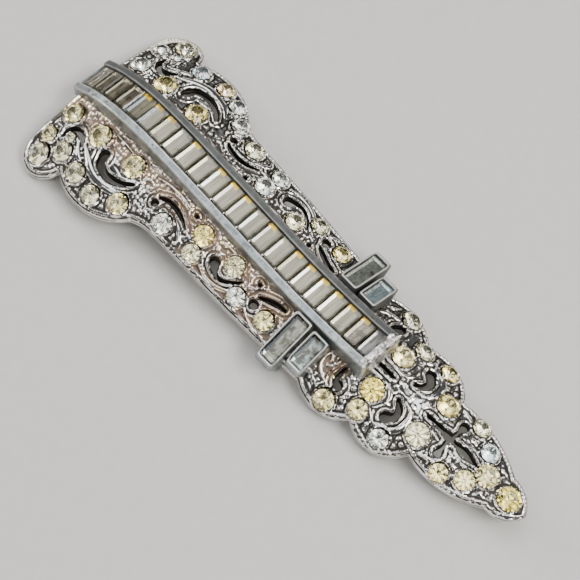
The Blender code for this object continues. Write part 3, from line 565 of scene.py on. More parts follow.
def outline_points(arc_step):
    """The right half's outline from the top edge to the point. An arc turns its chord's start about a centre
    that stands off the chord's middle by the arc's bow less its radius."""
    points = [np.array(OUTLINE[0][:2]) * (HALF_WIDTH, HALF_LENGTH)]
    for across, along, bulge in OUTLINE[1:]:
        start = points[-1]
        end = np.array((across * HALF_WIDTH, along * HALF_LENGTH))
        chord = end - start
        length = np.hypot(*chord)
        bow = bulge * HALF_WIDTH
        if abs(bow) < STRAIGHT_SHARE * length:
            points.append(end)
            continue
        radius = length ** 2 / (8 * bow) + bow / 2
        sweep = 4 * math.atan2(2 * bow, length)
        steps = max(2, math.ceil(abs(sweep) / arc_step))
        side = np.array((-chord[1], chord[0])) / length
        centre = (start + end) / 2 + side * (bow - radius)
        turn = -sweep * np.arange(1, steps + 1) / steps
        arm = start - centre
        points += list(centre + np.stack([arm[0] * np.cos(turn) - arm[1] * np.sin(turn),
                                          arm[0] * np.sin(turn) + arm[1] * np.cos(turn)], 1))
    return np.array(points)


def face_level():
    """Height that lifts the face so that the casting's lowest edge stands on the floor."""
    x, y = outline_points(FRAME_ARC_STEP).T
    return -(face_drop(x, y) - underside_depth(x, y)).min()


LEVEL = face_level()
EDGE = outline_points(FINE_ARC_STEP)


def face_z(x, y):
    """Height of the casting's plain face."""
    return face_drop(x, y) + LEVEL


def channel_line():
    """The level of the baguettes' tables as (y, z) points."""
    return smooth(CHANNEL_LINE, CHANNEL_STEPS) * (HALF_LENGTH, CHANNEL_RISE) + (0, LEVEL)


def walked(line):
    """Distance along a line at each of its points."""
    return np.concatenate([[0], np.cumsum(np.linalg.norm(np.diff(line, axis=0), axis=1))])


def along_line(line, distance):
    """Points of a line at distances along it, and its unit direction there."""
    def at(place):
        return np.stack([np.interp(place, walked(line), line[:, k]) for k in (0, 1)], -1)

    ahead = at(distance + TURN_STEP) - at(distance - TURN_STEP)
    return at(distance), ahead / np.linalg.norm(ahead, axis=-1, keepdims=True)


def superellipse(angle, power):
    """Unit rounded square: cosine and sine raised to a small power with their signs kept."""
    c, s = np.cos(angle), np.sin(angle)
    return np.sign(c) * np.abs(c) ** power, np.sign(s) * np.abs(s) ** power


def round_square(steps, power):
    """Points round a unit rounded square."""
    return superellipse(np.linspace(0, 2 * np.pi, steps, endpoint=False), power)


# Distances, profiles and fixed noise


def span_steps(x, y, line):
    """For each span of a line of (x, y, half width) rows, the points' distance from it and its half width."""
    for start, end in zip(line[:-1], line[1:]):
        run = end[:2] - start[:2]
        t = ((x - start[0]) * run[0] + (y - start[1]) * run[1]) / max(run @ run, TINY ** 2)
        t = np.clip(t, 0, 1)
        distance = np.hypot(x - start[0] - t * run[0], y - start[1] - t * run[1])
        yield distance, start[2] + t * (end[2] - start[2])


def stroke_distance(x, y, line):
    """Distance outside a stroke: the least over its spans of the distance from it less its half width."""
    best = np.full(x.shape, HALF_LENGTH)
    for distance, width in span_steps(x, y, line):
        np.minimum(best, distance - width, out=best)
    return best


def wire_height(x, y, line):
    """Height of a half-sunk round wire: the root of its half width squared less the distance squared."""
    best = np.zeros(x.shape)
    for distance, width in span_steps(x, y, line):
        np.maximum(best, np.sqrt(np.maximum(width ** 2 - distance ** 2, 0)), out=best)
    return best


def hump(distance, centre, half_width):
    """A cosine hump, 1 at the centre and 0 from half_width away."""
    return 0.5 + 0.5 * np.cos(np.pi * np.clip((distance - centre) / half_width, -1, 1))


def rise(value, low, high):
    """Smooth step: 0 below low, 1 above high, and 3 t squared less 2 t cubed between."""
    t = np.clip((value - low) / (high - low), 0, 1)
    return t * t * (3 - 2 * t)


def ripples(distance, length, depth):
    """1 on the crests, and 1 less twice the depth between them: a cosine along the distance."""
    return 1 - depth + depth * np.cos(2 * np.pi * distance / length)


def scatter(i, j, salt):
    """A fixed number between 0 and 1 for each pair of whole numbers: the fraction of a large sine."""
    value = np.sin(i * HASH[0] + j * HASH[1] + salt * HASH[2] + SEED) * HASH_SCALE
    return value - np.floor(value)


def beads(x, y, size):
    """Domes of beads, one to a cell with its own shift: 1 less the squared distance from the nearest one."""
    column, row = np.floor(x / size), np.floor(y / size)
    best = np.full(x.shape, np.inf)
    for i in (column - 1, column, column + 1):
        for j in (row - 1, row, row + 1):
            shift_x, shift_y, spread = (scatter(i, j, salt) for salt in BEAD_SALTS)
            centre_x = (i + BEAD_SHIFT[0] + BEAD_SHIFT[1] * shift_x) * size
            centre_y = (j + BEAD_SHIFT[0] + BEAD_SHIFT[1] * shift_y) * size
            radius = (BEAD_RADIUS[0] + BEAD_RADIUS[1] * spread) * size
            np.minimum(best, ((x - centre_x) ** 2 + (y - centre_y) ** 2) / radius ** 2, out=best)
    return np.maximum(1 - best, 0)


def drift(x, y, size, salt):
    """Soft noise: fixed numbers at the corners of cells, blended by smooth steps."""
    column, row = np.floor(x / size), np.floor(y / size)
    u, v = rise(x / size - column, 0, 1), rise(y / size - row, 0, 1)
    lower = scatter(column, row, salt) * (1 - u) + scatter(column + 1, row, salt) * u
    upper = scatter(column, row + 1, salt) * (1 - u) + scatter(column + 1, row + 1, salt) * u
    return lower * (1 - v) + upper * v


def blur(values, reach):
    """Mean over a square window, taken once along each axis."""
    for axis in (0, 1):
        values = sum(np.roll(values, shift, axis) for shift in range(-reach, reach + 1)) / (2 * reach + 1)
    return values


def strokes(tables, steps, width):
    """Smooth lines of (x, y, half width) through tables of across, along and share of the width."""
    return [smooth(rows, steps) * (HALF_WIDTH, HALF_LENGTH, width) for rows in tables]


GAPS = strokes(OPENINGS.values(), OPENING_STEPS, OPENING_TRIM * OPENING_WIDTH)


def near_line(x, y, line, reach):
    """Which points lie within reach of the box round a line."""
    place = np.stack([x, y], -1)
    return ((line[:, :2].min(0) - reach < place) & (line[:, :2].max(0) + reach > place)).all(-1)


def opening_distance(x, y):
    """Distance from the nearest opening of the mirrored set, negative inside one."""
    x = np.abs(x)
    best = np.full(x.shape, HALF_LENGTH)
    for line in GAPS:
        near = near_line(x, y, line, GAP_RANGE)
        best[near] = np.minimum(best[near], stroke_distance(x[near], y[near], line))
    return best


def edge_depth(x, y):
    """Depth inside the outline of the right half, mirrored: the distance to it, negative outside."""
    x = np.abs(x)
    best = np.full(x.shape, HALF_LENGTH)
    inside = np.zeros(x.shape, bool)
    ring = np.vstack([EDGE, [(-HALF_WIDTH, EDGE[-1, 1]), (-HALF_WIDTH, EDGE[0, 1])], EDGE[:1]])
    for start, end in zip(ring[:-1], ring[1:]):
        crosses = (start[1] > y) != (end[1] > y)
        with np.errstate(divide="ignore", invalid="ignore"):
            at = start[0] + (y - start[1]) * (end[0] - start[0]) / (end[1] - start[1])
        inside ^= crosses & (x < at)
    for distance, _ in span_steps(x, y, np.column_stack([EDGE, np.zeros(len(EDGE))])):
        np.minimum(best, distance, out=best)
    return np.where(inside, best, -best)


def metal_depth(x, y):
    """Depth inside the metal: the lesser of the depth inside the outline and the distance from an opening."""
    return np.minimum(edge_depth(x, y), opening_distance(x, y))


def stone_places():
    """Name, x, y, radius and tint of each round stone."""
    for name, across, along, share, lead, sides, tints in STONES:
        for side, tint in zip(sides, tints):
            label = name + "_" + SIDES[side] if side else name
            yield (label, side * across * HALF_WIDTH, (along + side * lead) * HALF_LENGTH,
                   share * STONE_DIAMETER / 2, tint)


# Relief of the casting


def in_rims(pair):
    """Two lengths that are given in half widths of a rim."""
    return np.multiply(pair, metal().rim_width / 2)


def edge_relief(x, y, depth):
    """Rim along the outline, the groove beside it, and where it is satin with a painted highlight.

    A cosine hump of the depth. On the right it is beaded by a cosine along the edge, and round the right ear
    it is wide and ribbed."""
    turn = np.arctan2(y - EAR[1], x - EAR[0])
    ear = rise(x, *EAR_ACROSS) * rise(turn, *EAR_TURN) * rise(y, *EAR_ALONG)
    right = rise(x, *PEARL_SIDE) * (1 - ear)
    pearls = ripples(y + PEARL_SLANT * x, EDGE_PEARL, PEARL_DEPTH)
    rim = metal().rim_height * hump(depth, *in_rims(EDGE_RIM)) * rise(depth, *in_rims(EDGE_START))
    rim *= 1 - right * (1 - pearls)
    ribs = ripples(turn * EAR_RADIUS, EAR_RIB, EAR_RIB_DEPTH)
    rim = np.maximum(rim, EAR_HEIGHT * ear * hump(depth, *EAR_RIM) ** 0.5 * ribs)
    groove = np.maximum(hump(depth, *in_rims(EDGE_GROOVE)) * (1 - ear), ear * hump(depth, *EAR_GROOVE))
    # Satin roughness and a painted highlight on the ear rim and on the tops of the right edge's pearls
    satin = np.maximum(ear, 0.5 * right * rise(pearls, *PEARL_HIGHLIGHT)) * rise(rim, *SATIN_HIGHLIGHT_RIM)
    return rim, groove, satin


def gap_relief(y, gap):
    """Rim round the openings with a lower line outside it, and the groove between: humps of the distance."""
    height = metal().rim_height
    rim = height * hump(gap, *in_rims(GAP_RIM)) * rise(gap, *in_rims(GAP_START))
    line = OUTER_LINE_HEIGHT * height * hump(gap, *in_rims(OUTER_LINE))
    line *= np.where(y < CHANNEL_START, TIP_LINE_SHARE, 1.0)
    return np.maximum(rim, line), hump(gap, *in_rims(GAP_GROOVE))


def scroll_height(x, y):
    """Height of the half-round scrolls: a share of a round wire's, with a small lift where one lies."""
    x = np.abs(x)
    wire = np.zeros(x.shape)
    for line in strokes(SCROLLS, SCROLL_STEPS, metal().scroll_width):
        near = near_line(x, y, line, SCROLL_RANGE)
        wire[near] = np.maximum(wire[near], wire_height(x[near], y[near], line))
    return SCROLL_STAND * wire + SCROLL_LIFT * rise(wire, 0, SCROLL_LIFT)


def bead_relief(x, y):
    """Round beads, a share of half a ball each, and the grooves round them."""
    ball, groove = np.zeros((2, *x.shape))
    for side, across, along, size in BEADS:
        radius = size * MM
        beside = np.hypot((x * side if side else np.abs(x)) - across * HALF_WIDTH, y - along * HALF_LENGTH)
        ball = np.maximum(ball, np.sqrt(np.maximum(radius ** 2 - beside ** 2, 0)))
        groove = np.maximum(groove, hump(beside, radius + BEAD_GROOVE[0], BEAD_GROOVE[1]))
    return BEAD_STAND * ball, groove


def stone_relief(x, y):
    """Collars of the round stones, the grooves round them, and 1 in their seats: functions of the distance
    beyond a stone's edge."""
    collar, groove, seat = np.zeros((3, *x.shape))
    for _, stone_x, stone_y, radius, _ in stone_places():
        beyond = np.hypot(x - stone_x, y - stone_y) - radius
        collar = np.maximum(collar, COLLAR_HEIGHT * hump(beyond, *COLLAR))
        groove = np.maximum(groove, hump(beyond, *COLLAR_GROOVE))
        seat = np.maximum(seat, 1 - rise(beyond, *SEAT_EDGE))
    return collar, groove, seat


def ground_height(x, y):
    """Beaded ground: beads that swell and shrink slowly, smaller ones between them, and low waves. The beads
    are larger at the tip and lower on the right."""
    size, height = metal().grain_size, metal().grain_height
    tip_lumps = beads(x, y, TIP_LUMP_SIZE * size) * TIP_LUMP_HEIGHT
    lumps = np.where(y < CHANNEL_START, tip_lumps, beads(x, y, size))
    grain = lumps * height * (SWELL_LEAST + SWELL_RANGE * drift(x, y, SWELL_SIZE, SWELL_SALT))
    grain = np.maximum(grain, beads(y, x, FINE_BEAD_SIZE * size) * FINE_BEAD_HEIGHT * height)
    grain *= np.where(x > 0, RIGHT_GROUND, 1.0)
    return grain - GROUND_SINK * height + WAVE_HEIGHT * (drift(x, y, WAVE_SIZE, WAVE_SALT) - 0.5)


def warmth(x, y, depth, bead):
    """How warm the plate's tone is: beside the rails and in a band along the left edge, less so on beads."""
    beside_rail = 1 - rise(np.abs(x), WARM_START, np.where(x < 0, *WARM_REACH))
    beside_rail *= rise(y, *WARM_ALONG) * np.where(x < 0, *WARM_SHARE)
    band = rise(-x, *BAND_ACROSS) * (1 - rise(depth, *BAND_INNER)) * rise(depth, *BAND_OUTER)
    band *= rise(y, *BAND_LOW) * (1 - rise(y, *BAND_HIGH))
    return np.maximum(beside_rail, band) * (1 - 0.5 * rise(bead, 0, BRIGHT_BEAD))


def relief(x, y):
    """Height of the casting over its plain face, how warm it is, and where it is satin with a painted
    highlight.

    The greatest of the ground and the raised features. The ground sinks in the grooves beside the features,
    and all of it sinks to the seats of the stones."""
    depth = edge_depth(x, y)
    edge, edge_groove, satin = edge_relief(x, y, depth)
    rim, rim_groove = gap_relief(y, opening_distance(x, y))
    bead, bead_groove = bead_relief(x, y)
    collar, collar_groove, seat = stone_relief(x, y)
    raised = np.maximum.reduce([edge, rim, scroll_height(x, y), bead, collar])
    groove = np.maximum.reduce([edge_groove, rim_groove, bead_groove, collar_groove])
    ground = ground_height(x, y) * (1 - GROOVE_CALM * groove) - GROOVE_DEPTH * groove
    height = np.maximum(ground, raised - RAISED_SINK)
    return height * (1 - seat) - SEAT_DEPTH * seat, {"warm": warmth(x, y, depth, bead), "satin": satin}


# Meshes


def surface_points(x, y, z):
    """Points of a surface, row by row, from the x, y and z of its grid."""
    return np.stack(np.broadcast_arrays(x, y, z), -1).reshape(-1, 3)


def mesh_object(name, points, faces, attributes=None, smooth_angle=SMOOTH_ANGLE):
    """A mesh piece from an array of points and a list of arrays of faces, each with one number of corners."""
    corners = np.concatenate([group.ravel() for group in faces])
    counts = np.concatenate([np.full(len(group), group.shape[1]) for group in faces])
    mesh = bpy.data.meshes.new(name)
    mesh.vertices.add(len(points))
    mesh.vertices.foreach_set("co", np.asarray(points, np.float32).ravel())
    mesh.loops.add(len(corners))
    mesh.loops.foreach_set("vertex_index", corners.astype(np.int32))
    mesh.polygons.add(len(counts))
    mesh.polygons.foreach_set("loop_start", (np.cumsum(counts) - counts).astype(np.int32))
    mesh.update(calc_edges=True)
    mesh.validate()
    for label, values in (attributes or {}).items():
        layer = mesh.attributes.new(label, "FLOAT", "POINT")
        layer.data.foreach_set("value", np.asarray(values, np.float32))
    mesh.shade_flat()
    if smooth_angle:
        mesh.shade_smooth()
        mesh.set_sharp_from_angle(angle=smooth_angle)
    piece = bpy.data.objects.new(name, mesh)
    bpy.context.scene.collection.objects.link(piece)
    return piece


def finish_piece(piece, materials, node, index=None):
    """Gives a piece its materials and their faces, its body and the frame's node that it replaces."""
    for material in materials:
        piece.data.materials.append(material)
    if index is not None:
        piece.data.polygons.foreach_set("material_index", index.astype(np.int32))
    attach(piece, BODY)
    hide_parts(node)


def finish_plate(piece, build):
    """Finishes a piece that stands for the plate in one of its metals."""
    finish_piece(piece, [once(build)], "plate")


def grid_faces(rows, columns, wrap_rows=False, wrap_columns=False, first=0):
    """Quads of a grid of points numbered row by row from first; a wrapped side joins its end to its start."""
    i, j = np.meshgrid(np.arange(rows - (not wrap_rows)), np.arange(columns - (not wrap_columns)),
                       indexing="ij")
    below, beside = (i + 1) % rows, (j + 1) % columns
    quads = [i * columns + j, i * columns + beside, below * columns + beside, below * columns + j]
    return first + np.stack(quads, -1).reshape(-1, 4)


def grid_border(rows, columns):
    """Numbers of a grid's outer points in order round it."""
    number = np.arange(rows * columns).reshape(rows, columns)
    return np.concatenate([number[:-1, 0], number[-1, :-1], number[:0:-1, -1], number[0, :0:-1]])


def tube_faces(rows, columns):
    """Faces of a tube of rows by columns points: its side and its two ends."""
    ring = np.arange(columns)[None]
    return [grid_faces(rows, columns, wrap_columns=True), ring, (rows - 1) * columns + ring[:, ::-1]]


def rounded_block(name, size, centre, axes, roughness=0.0, power=BLOCK_POWER, steps=BLOCK_STEPS):
    """A block with soft corners: a sphere's grid with each angle's cosine and sine raised to a small power.

    Its surface is moved along the radius by soft noise, and its poles are closed with fans."""
    rows, columns = steps
    ring, level = superellipse(np.linspace(-np.pi / 2, np.pi / 2, rows)[:, None], power)
    c, s = round_square(columns, power)
    points = surface_points(ring * c, ring * s, level) * np.array(size) / 2
    u, v = points[:, 0] + points[:, 2], points[:, 1] - points[:, 2]
    coarse, fine = (drift(u, v, lump, salt) for lump, salt in zip(BLOCK_LUMPS, BLOCK_SALTS))
    points *= 1 + roughness * (coarse + SMALL_LUMPS * fine - MEAN_LUMPS)[:, None]
    points = np.vstack([points[:1], points[columns:-columns], points[-1:]])
    k = np.arange(columns)
    after, last = (k + 1) % columns, len(points) - 1
    faces = [
        grid_faces(rows - 2, columns, wrap_columns=True, first=1),
        np.stack([np.zeros(columns, int), 1 + after, 1 + k], 1),
        np.stack([np.full(columns, last), last - columns + k, last - columns + after], 1),
    ]
    return mesh_object(name, points @ axes + centre, faces, smooth_angle=BLOCK_ANGLE)


# The casting


def boundary_edges(kept, number):
    """Directed edges round the kept cells of a grid, the cell on the left, as pairs of vertex numbers."""
    padded = np.pad(kept, 1)
    sides = (
        (padded[1:-1, :-2], number[:-1, :-1], number[1:, :-1]),
        (padded[2:, 1:-1], number[1:, :-1], number[1:, 1:]),
        (padded[1:-1, 2:], number[1:, 1:], number[:-1, 1:]),
        (padded[:-2, 1:-1], number[:-1, 1:], number[:-1, :-1]),
    )
    return np.concatenate([np.stack([start[kept & ~beside], end[kept & ~beside]], 1)
                           for beside, start, end in sides])


def metal_cells(x, y):
    """Cells of a grid whose corners lie in the metal, and those of them that the channel leaves open."""
    inside = metal_depth(x, y) > -0.5 * GRID
    full = inside[:-1, :-1] & inside[1:, :-1] & inside[1:, 1:] & inside[:-1, 1:]
    hidden = np.abs(x[:-1, :-1] + GRID / 2) < HIDDEN_HALF_WIDTH
    hidden &= (y[:-1, :-1] > CHANNEL_START) & (y[:-1, :-1] < CHANNEL_STOP)
    return full, full & ~hidden


def cut_to_metal(x, y, full, number):
    """The grid's corners, those on the cut moved along the depth's slope to depth 0, and their way outward.

    A corner on the grid's own border only moves along that border."""
    x_border, y_border = np.zeros((2, *x.shape), bool)
    x_border[[0, -1]] = True
    y_border[:, [0, -1]] = True
    border = (x_border | y_border).ravel()
    cut = boundary_edges(full, number)
    cut = np.unique(cut[~border[cut].all(1)])
    free = np.stack([~x_border.ravel()[cut], ~y_border.ravel()[cut]], 1)
    flat = np.stack([x.ravel(), y.ravel()], 1)
    out = np.zeros(flat.shape)
    for _ in range(CUT_PASSES):
        px, py = flat[cut].T
        slope = np.stack([metal_depth(px + CUT_STEP, py) - metal_depth(px - CUT_STEP, py),
                          metal_depth(px, py + CUT_STEP) - metal_depth(px, py - CUT_STEP)], 1)
        slope /= np.maximum(np.linalg.norm(slope, axis=1, keepdims=True), TINY)
        flat[cut] -= metal_depth(px, py)[:, None] * slope * free
        out[cut] = -slope * free
    return flat, out


def wall_rings(top, under, base, out):
    """Rings of points down the wall by WALL_STEPS; where the wall has no way outward it is straight."""
    plain = (out == 0).all(1)
    rings = []
    for outward, level in WALL_STEPS:
        straight = top[:, 2] + (under[:, 2] - top[:, 2]) * level / WALL_STEPS[-1][1]
        rings.append(np.column_stack([top[:, :2] + out * outward * MM,
                                      np.where(plain, straight, base + level * MM)]))
    return rings


def cavity(height, y):
    """How deep a place lies under the mean height round it, brighter at the tip."""
    sunk = (blur(height, CAVITY_REACH) - height).ravel() / CAVITY_DEPTH - TIP_BRIGHTNESS * (y < CHANNEL_START)
    return np.clip(CAVITY_LEVEL + sunk, 0, 1)


def casting_faces(size, corners, edges, used, inner, rim):
    """Faces of the top, the underside and the wall's rings, whose points are laid out in that order."""
    top, under, ring = np.full((3, size), -1)
    top[used] = np.arange(len(used))
    under[inner] = len(used) + np.arange(len(inner))
    ring[rim] = len(used) + len(inner) + np.arange(len(rim))
    under[rim] = ring[rim] + (len(WALL_STEPS) - 1) * len(rim)
    faces = [top[corners], under[corners[:, ::-1]]]
    upper = top[edges]
    for level in range(len(WALL_STEPS)):
        lower = ring[edges] + level * len(rim)
        faces.append(np.stack([lower[:, 0], lower[:, 1], upper[:, 1], upper[:, 0]], 1))
        upper = lower
    return faces


def casting_part(name, x_range, y_range):
    """Part of the casting on a square grid that is cut at the metal's edge.

    The top is the face plus the relief, the underside is the face less the thickness along its normal, and
    the wall between them has grooves. The walls of the openings are darkened with painted shade."""
    columns, rows = (np.arange(round(low / GRID), round(high / GRID) + 1) * GRID
                     for low, high in (x_range, y_range))
    x, y = np.meshgrid(columns, rows, indexing="ij")
    number = np.arange(x.size).reshape(x.shape)
    full, kept = metal_cells(x, y)
    flat, out = cut_to_metal(x, y, full, number)
    height, looks = relief(*flat.T)
    looks["cavity"] = cavity(height.reshape(x.shape), flat[:, 1])
    base = face_z(*flat.T)
    top = np.column_stack([flat, base + height])
    under = np.column_stack([flat, base - underside_depth(*flat.T)])
    edges = boundary_edges(kept, number)
    corners = np.stack([number[:-1, :-1], number[1:, :-1], number[1:, 1:], number[:-1, 1:]], -1)[kept]
    used, rim = np.unique(corners), np.unique(edges)
    inner = np.setdiff1d(used, rim)
    rings = wall_rings(top[rim], under[rim], base[rim], out[rim])
    points = np.concatenate([top[used], under[inner], *rings])
    beyond = dict.fromkeys(looks, np.zeros(len(points) - len(used)))
    # Painted shade: the openings' walls are made darker on top of the plain tarnish value
    in_gap = opening_distance(*flat[rim].T) < edge_depth(*flat[rim].T)
    beyond["cavity"] = np.full(len(points) - len(used), CAVITY_LEVEL)
    beyond["cavity"][len(inner):] += np.tile(WALL_PAINTED_SHADE * in_gap, len(rings))
    attributes = {key: np.concatenate([values[used], beyond[key]]) for key, values in looks.items()}
    faces = casting_faces(x.size, corners, edges, used, inner, rim)
    return mesh_object(name, points, faces, attributes, CASTING_ANGLE)


# Materials


class Nodes:
    """Shorthand for a material's node tree."""

    def __init__(self, name):
        self.material = bpy.data.materials.new(name)
        self.material.use_nodes = True
        self.tree = self.material.node_tree
        self.shader = self.tree.nodes["Principled BSDF"]

    def put(self, target, value):
        """Sets an input to a value, or links it to another node's output."""
        if isinstance(value, bpy.types.NodeSocket):
            self.tree.links.new(value, target)
        elif target.type == "RGBA":
            target.default_value = (*value, 1.0)
        else:
            target.default_value = value

    def add(self, kind, settings=None, **inputs):
        """A new node with its settings and inputs."""
        node = self.tree.nodes.new(kind)
        for key, value in (settings or {}).items():
            setattr(node, key, value)
        for key, value in inputs.items():
            self.put(node.inputs[key.replace("_", " ")], value)
        return node

    def place(self):
        return self.add("ShaderNodeTexCoord").outputs["Object"]

    def attribute(self, name):
        return self.add("ShaderNodeAttribute", {"attribute_name": name}).outputs["Fac"]

    def noise(self, scale, detail=3.0, roughness=0.55):
        return self.add("ShaderNodeTexNoise", Vector=self.place(), Scale=scale, Detail=detail,
                        Roughness=roughness).outputs["Fac"]

    def streaks(self, scales):
        """Noise stretched by a scale for each axis."""
        mapping = self.add("ShaderNodeMapping", Vector=self.place(), Scale=scales)
        return self.add("ShaderNodeTexNoise", Vector=mapping.outputs[0], Scale=1.0, Detail=3.0).outputs["Fac"]

    def cells(self, scale):
        return self.add("ShaderNodeTexVoronoi", Vector=self.place(), Scale=scale).outputs["Distance"]

    def math(self, operation, first, second):
        node = self.add("ShaderNodeMath", {"operation": operation})
        self.put(node.inputs[0], first)
        self.put(node.inputs[1], second)
        return node.outputs[0]

    def plus(self, first, second, share):
        """The first and a share of the second."""
        return self.math("ADD", first, self.math("MULTIPLY", second, share))

    def between(self, value, low, high, start=0.0, end=1.0):
        """Smooth step of a value from low to high, which runs from start to end."""
        node = self.add("ShaderNodeMapRange", {"interpolation_type": "SMOOTHSTEP"}, Value=value,
                        From_Min=low, From_Max=high, To_Min=start, To_Max=end)
        return node.outputs["Result"]

    def mix(self, factor, first, second):
        node = self.add("ShaderNodeMix", {"data_type": "RGBA"})
        self.put(node.inputs["Factor"], factor)
        self.put(node.inputs[MIX_FIRST], first)
        self.put(node.inputs[MIX_SECOND], second)
        return node.outputs[MIX_RESULT]

    def bump(self, height, distance, strength):
        node = self.add("ShaderNodeBump", Height=height, Distance=distance, Strength=strength)
        return node.outputs["Normal"]

    def done(self, **inputs):
        """The material, once the shader has its inputs."""
        for key, value in inputs.items():
            self.put(self.shader.inputs[key.replace("_", " ")], value)
        return self.material


def once(build, name=None):
    """The material that a function builds, built the first time it is asked for."""
    name = name or build.__name__
    return bpy.data.materials.get(name) or build(Nodes(name))


def shaded(colour, share):
    """A share of a colour."""
    return tuple(share * part for part in colour)


def cast_silver(n):
    """Bright plating on the raised parts; in the recesses dark or brown tarnish, deepened as painted shade.
    """
    look = metal()
    patches = n.math("SUBTRACT", n.noise(420.0, 4.0, 0.6), 0.5)
    # Tarnish and painted shade: darker the deeper a place lies under the mean height round it
    dirt_and_shade = n.between(n.plus(n.attribute("cavity"), patches, 0.4), 0.44, 0.66, 0.0, look.tarnish_share)
    warm = n.between(n.plus(n.attribute("warm"), patches, 0.5), 0.25, 0.9)
    dull = n.between(n.noise(1500.0), 0.50, 0.70, 0.0, 0.35)
    bright = n.mix(dull, look.silver, DULL_SILVER)
    worn = n.mix(n.between(n.noise(800.0), 0.46, 0.60), look.warm, look.gilt)
    colour = n.mix(dirt_and_shade, n.mix(warm, bright, worn), n.mix(warm, look.tarnish, look.rust))
    satin = n.attribute("satin")
    rough = n.plus(n.between(n.noise(2200.0), 0.3, 0.7, 0.05, 0.17), dirt_and_shade, 0.35)
    rough = n.plus(rough, satin, 0.25)
    # Painted highlight: the pale ear colour where satin is set
    return n.done(Base_Color=n.mix(satin, colour, look.ear), Metallic=1.0, Roughness=rough,
                  Normal=n.bump(n.noise(2600.0, 3.0, 0.5), 0.05 * MM, 0.30))


def cast_bright(n):
    """Bright rough plating of the channel's end."""
    dirt_and_shade = n.between(n.noise(1400.0, 4.0, 0.65), 0.47, 0.60, 0.0, 0.85)
    return n.done(Base_Color=n.mix(dirt_and_shade, metal().silver, metal().tarnish), Metallic=0.9, Roughness=0.30,
                  Normal=n.bump(n.noise(2400.0, 4.0), 0.16 * MM, 0.9))


def worn_rail(n):
    """Satin grey metal with darker specks, small pits, and painted shade that darkens its right side."""
    look = metal()
    side = n.add("ShaderNodeSeparateXYZ", Vector=n.place()).outputs["X"]
    clouds = n.mix(n.between(n.noise(420.0), 0.35, 0.7), look.rail, PALE_RAIL)
    # Painted shade: the right side is mixed towards the darker rail colour
    base = n.mix(n.between(side, *PAINTED_SHADE_SIDE, 0.0, 0.85), clouds, look.dark_rail)
    specks = n.between(n.noise(2600.0, 4.0, 0.7), 0.48, 0.62)
    colour = n.mix(n.math("MULTIPLY", specks, 0.75), base, RAIL_SPECK)
    pits = n.between(n.cells(750.0), 0.0, 0.16, 1.0, 0.0)
    colour = n.mix(n.math("MULTIPLY", pits, 0.8), colour, RAIL_PIT)
    colour = n.mix(n.attribute("lip"), colour, look.silver)
    rough = n.between(n.noise(1500.0, 2.0), 0.3, 0.7, 0.30, 0.46)
    rough = n.math("ADD", rough, n.between(side, *PAINTED_SHADE_SIDE, 0.0, 0.22))
    return n.done(Base_Color=colour, Metallic=0.9, Roughness=rough,
                  Normal=n.bump(n.plus(n.noise(3200.0, 4.0, 0.6), pits, -1.5), 0.05 * MM, 0.5))


def clip_steel(n):
    """Brushed plated steel: noise stretched along the tongue as fine bump and a change of gloss."""
    brush = n.streaks((9000.0, 220.0, 9000.0))
    stain = n.between(n.noise(320.0, 4.0), 0.5, 0.75, 0.0, 0.6)
    return n.done(Base_Color=n.mix(stain, metal().steel, STEEL_STAIN), Metallic=1.0,
                  Roughness=n.between(brush, 0.3, 0.7, 0.28, 0.48), Normal=n.bump(brush, 0.01 * MM, 0.5))


def foil(tint, roughness):
    """Mirror foil behind a stone, a little cloudy and spotted with age."""
    def build(n):
        colour = getattr(stones(), tint)
        aged = n.between(n.noise(1500.0, 4.0, 0.65), 0.56, 0.82, 0.0, 0.5)
        return n.done(Base_Color=n.mix(aged, colour, shaded(colour, 0.5)), Metallic=1.0, Roughness=roughness)
    return once(build, "foil_%s_%d" % (tint, round(100 * roughness)))


def bar_foil(tint, stain):
    """Satin foil with faint streaks across the channel and brown blotches where the stain is high."""
    def build(n):
        colour = getattr(stones(), tint)
        streak = n.between(n.streaks((300.0, 3600.0, 3600.0)), 0.35, 0.65)
        shade = n.mix(streak, shaded(colour, 0.66), shaded(colour, 1.12))
        low, high = (edge - BLOTCH_SHIFT * stain for edge in BLOTCH)
        blotch = n.between(n.noise(1100.0, 5.0, 0.7), low, high, 0.0, 0.85)
        return n.done(Base_Color=n.mix(blotch, shade, stones().stain), Metallic=0.85, Roughness=0.30)
    return once(build, "bar_foil_%s_%d" % (tint, round(100 * stain)))


def cut_glass(n):
    """Old cut glass: clear, with a faint haze of scratches."""
    haze = n.between(n.noise(2400.0, 4.0), 0.45, 0.8, 0.01, 0.10)
    return n.done(Base_Color=CLEAR_GLASS, Roughness=haze, IOR=1.55, Transmission_Weight=1.0)


def floor_paper(n):
    """Pale matt card with a faint tooth."""
    colour = bpy.context.scene.clip_stage.floor
    shade = n.mix(n.between(n.noise(700.0, 4.0), 0.3, 0.7), colour, shaded(colour, 0.97))
    return n.done(Base_Color=shade, Roughness=0.85, Normal=n.bump(n.noise(2500.0), 0.04 * MM, 0.3))


# Round stones


def ring_points(count, radius, height, turn=0.0):
    """Points evenly round a circle at a height, turned by a share of the step between them."""
    angle = (np.arange(count) + turn) * 2 * np.pi / count
    return surface_points(radius * np.cos(angle), radius * np.sin(angle), height)


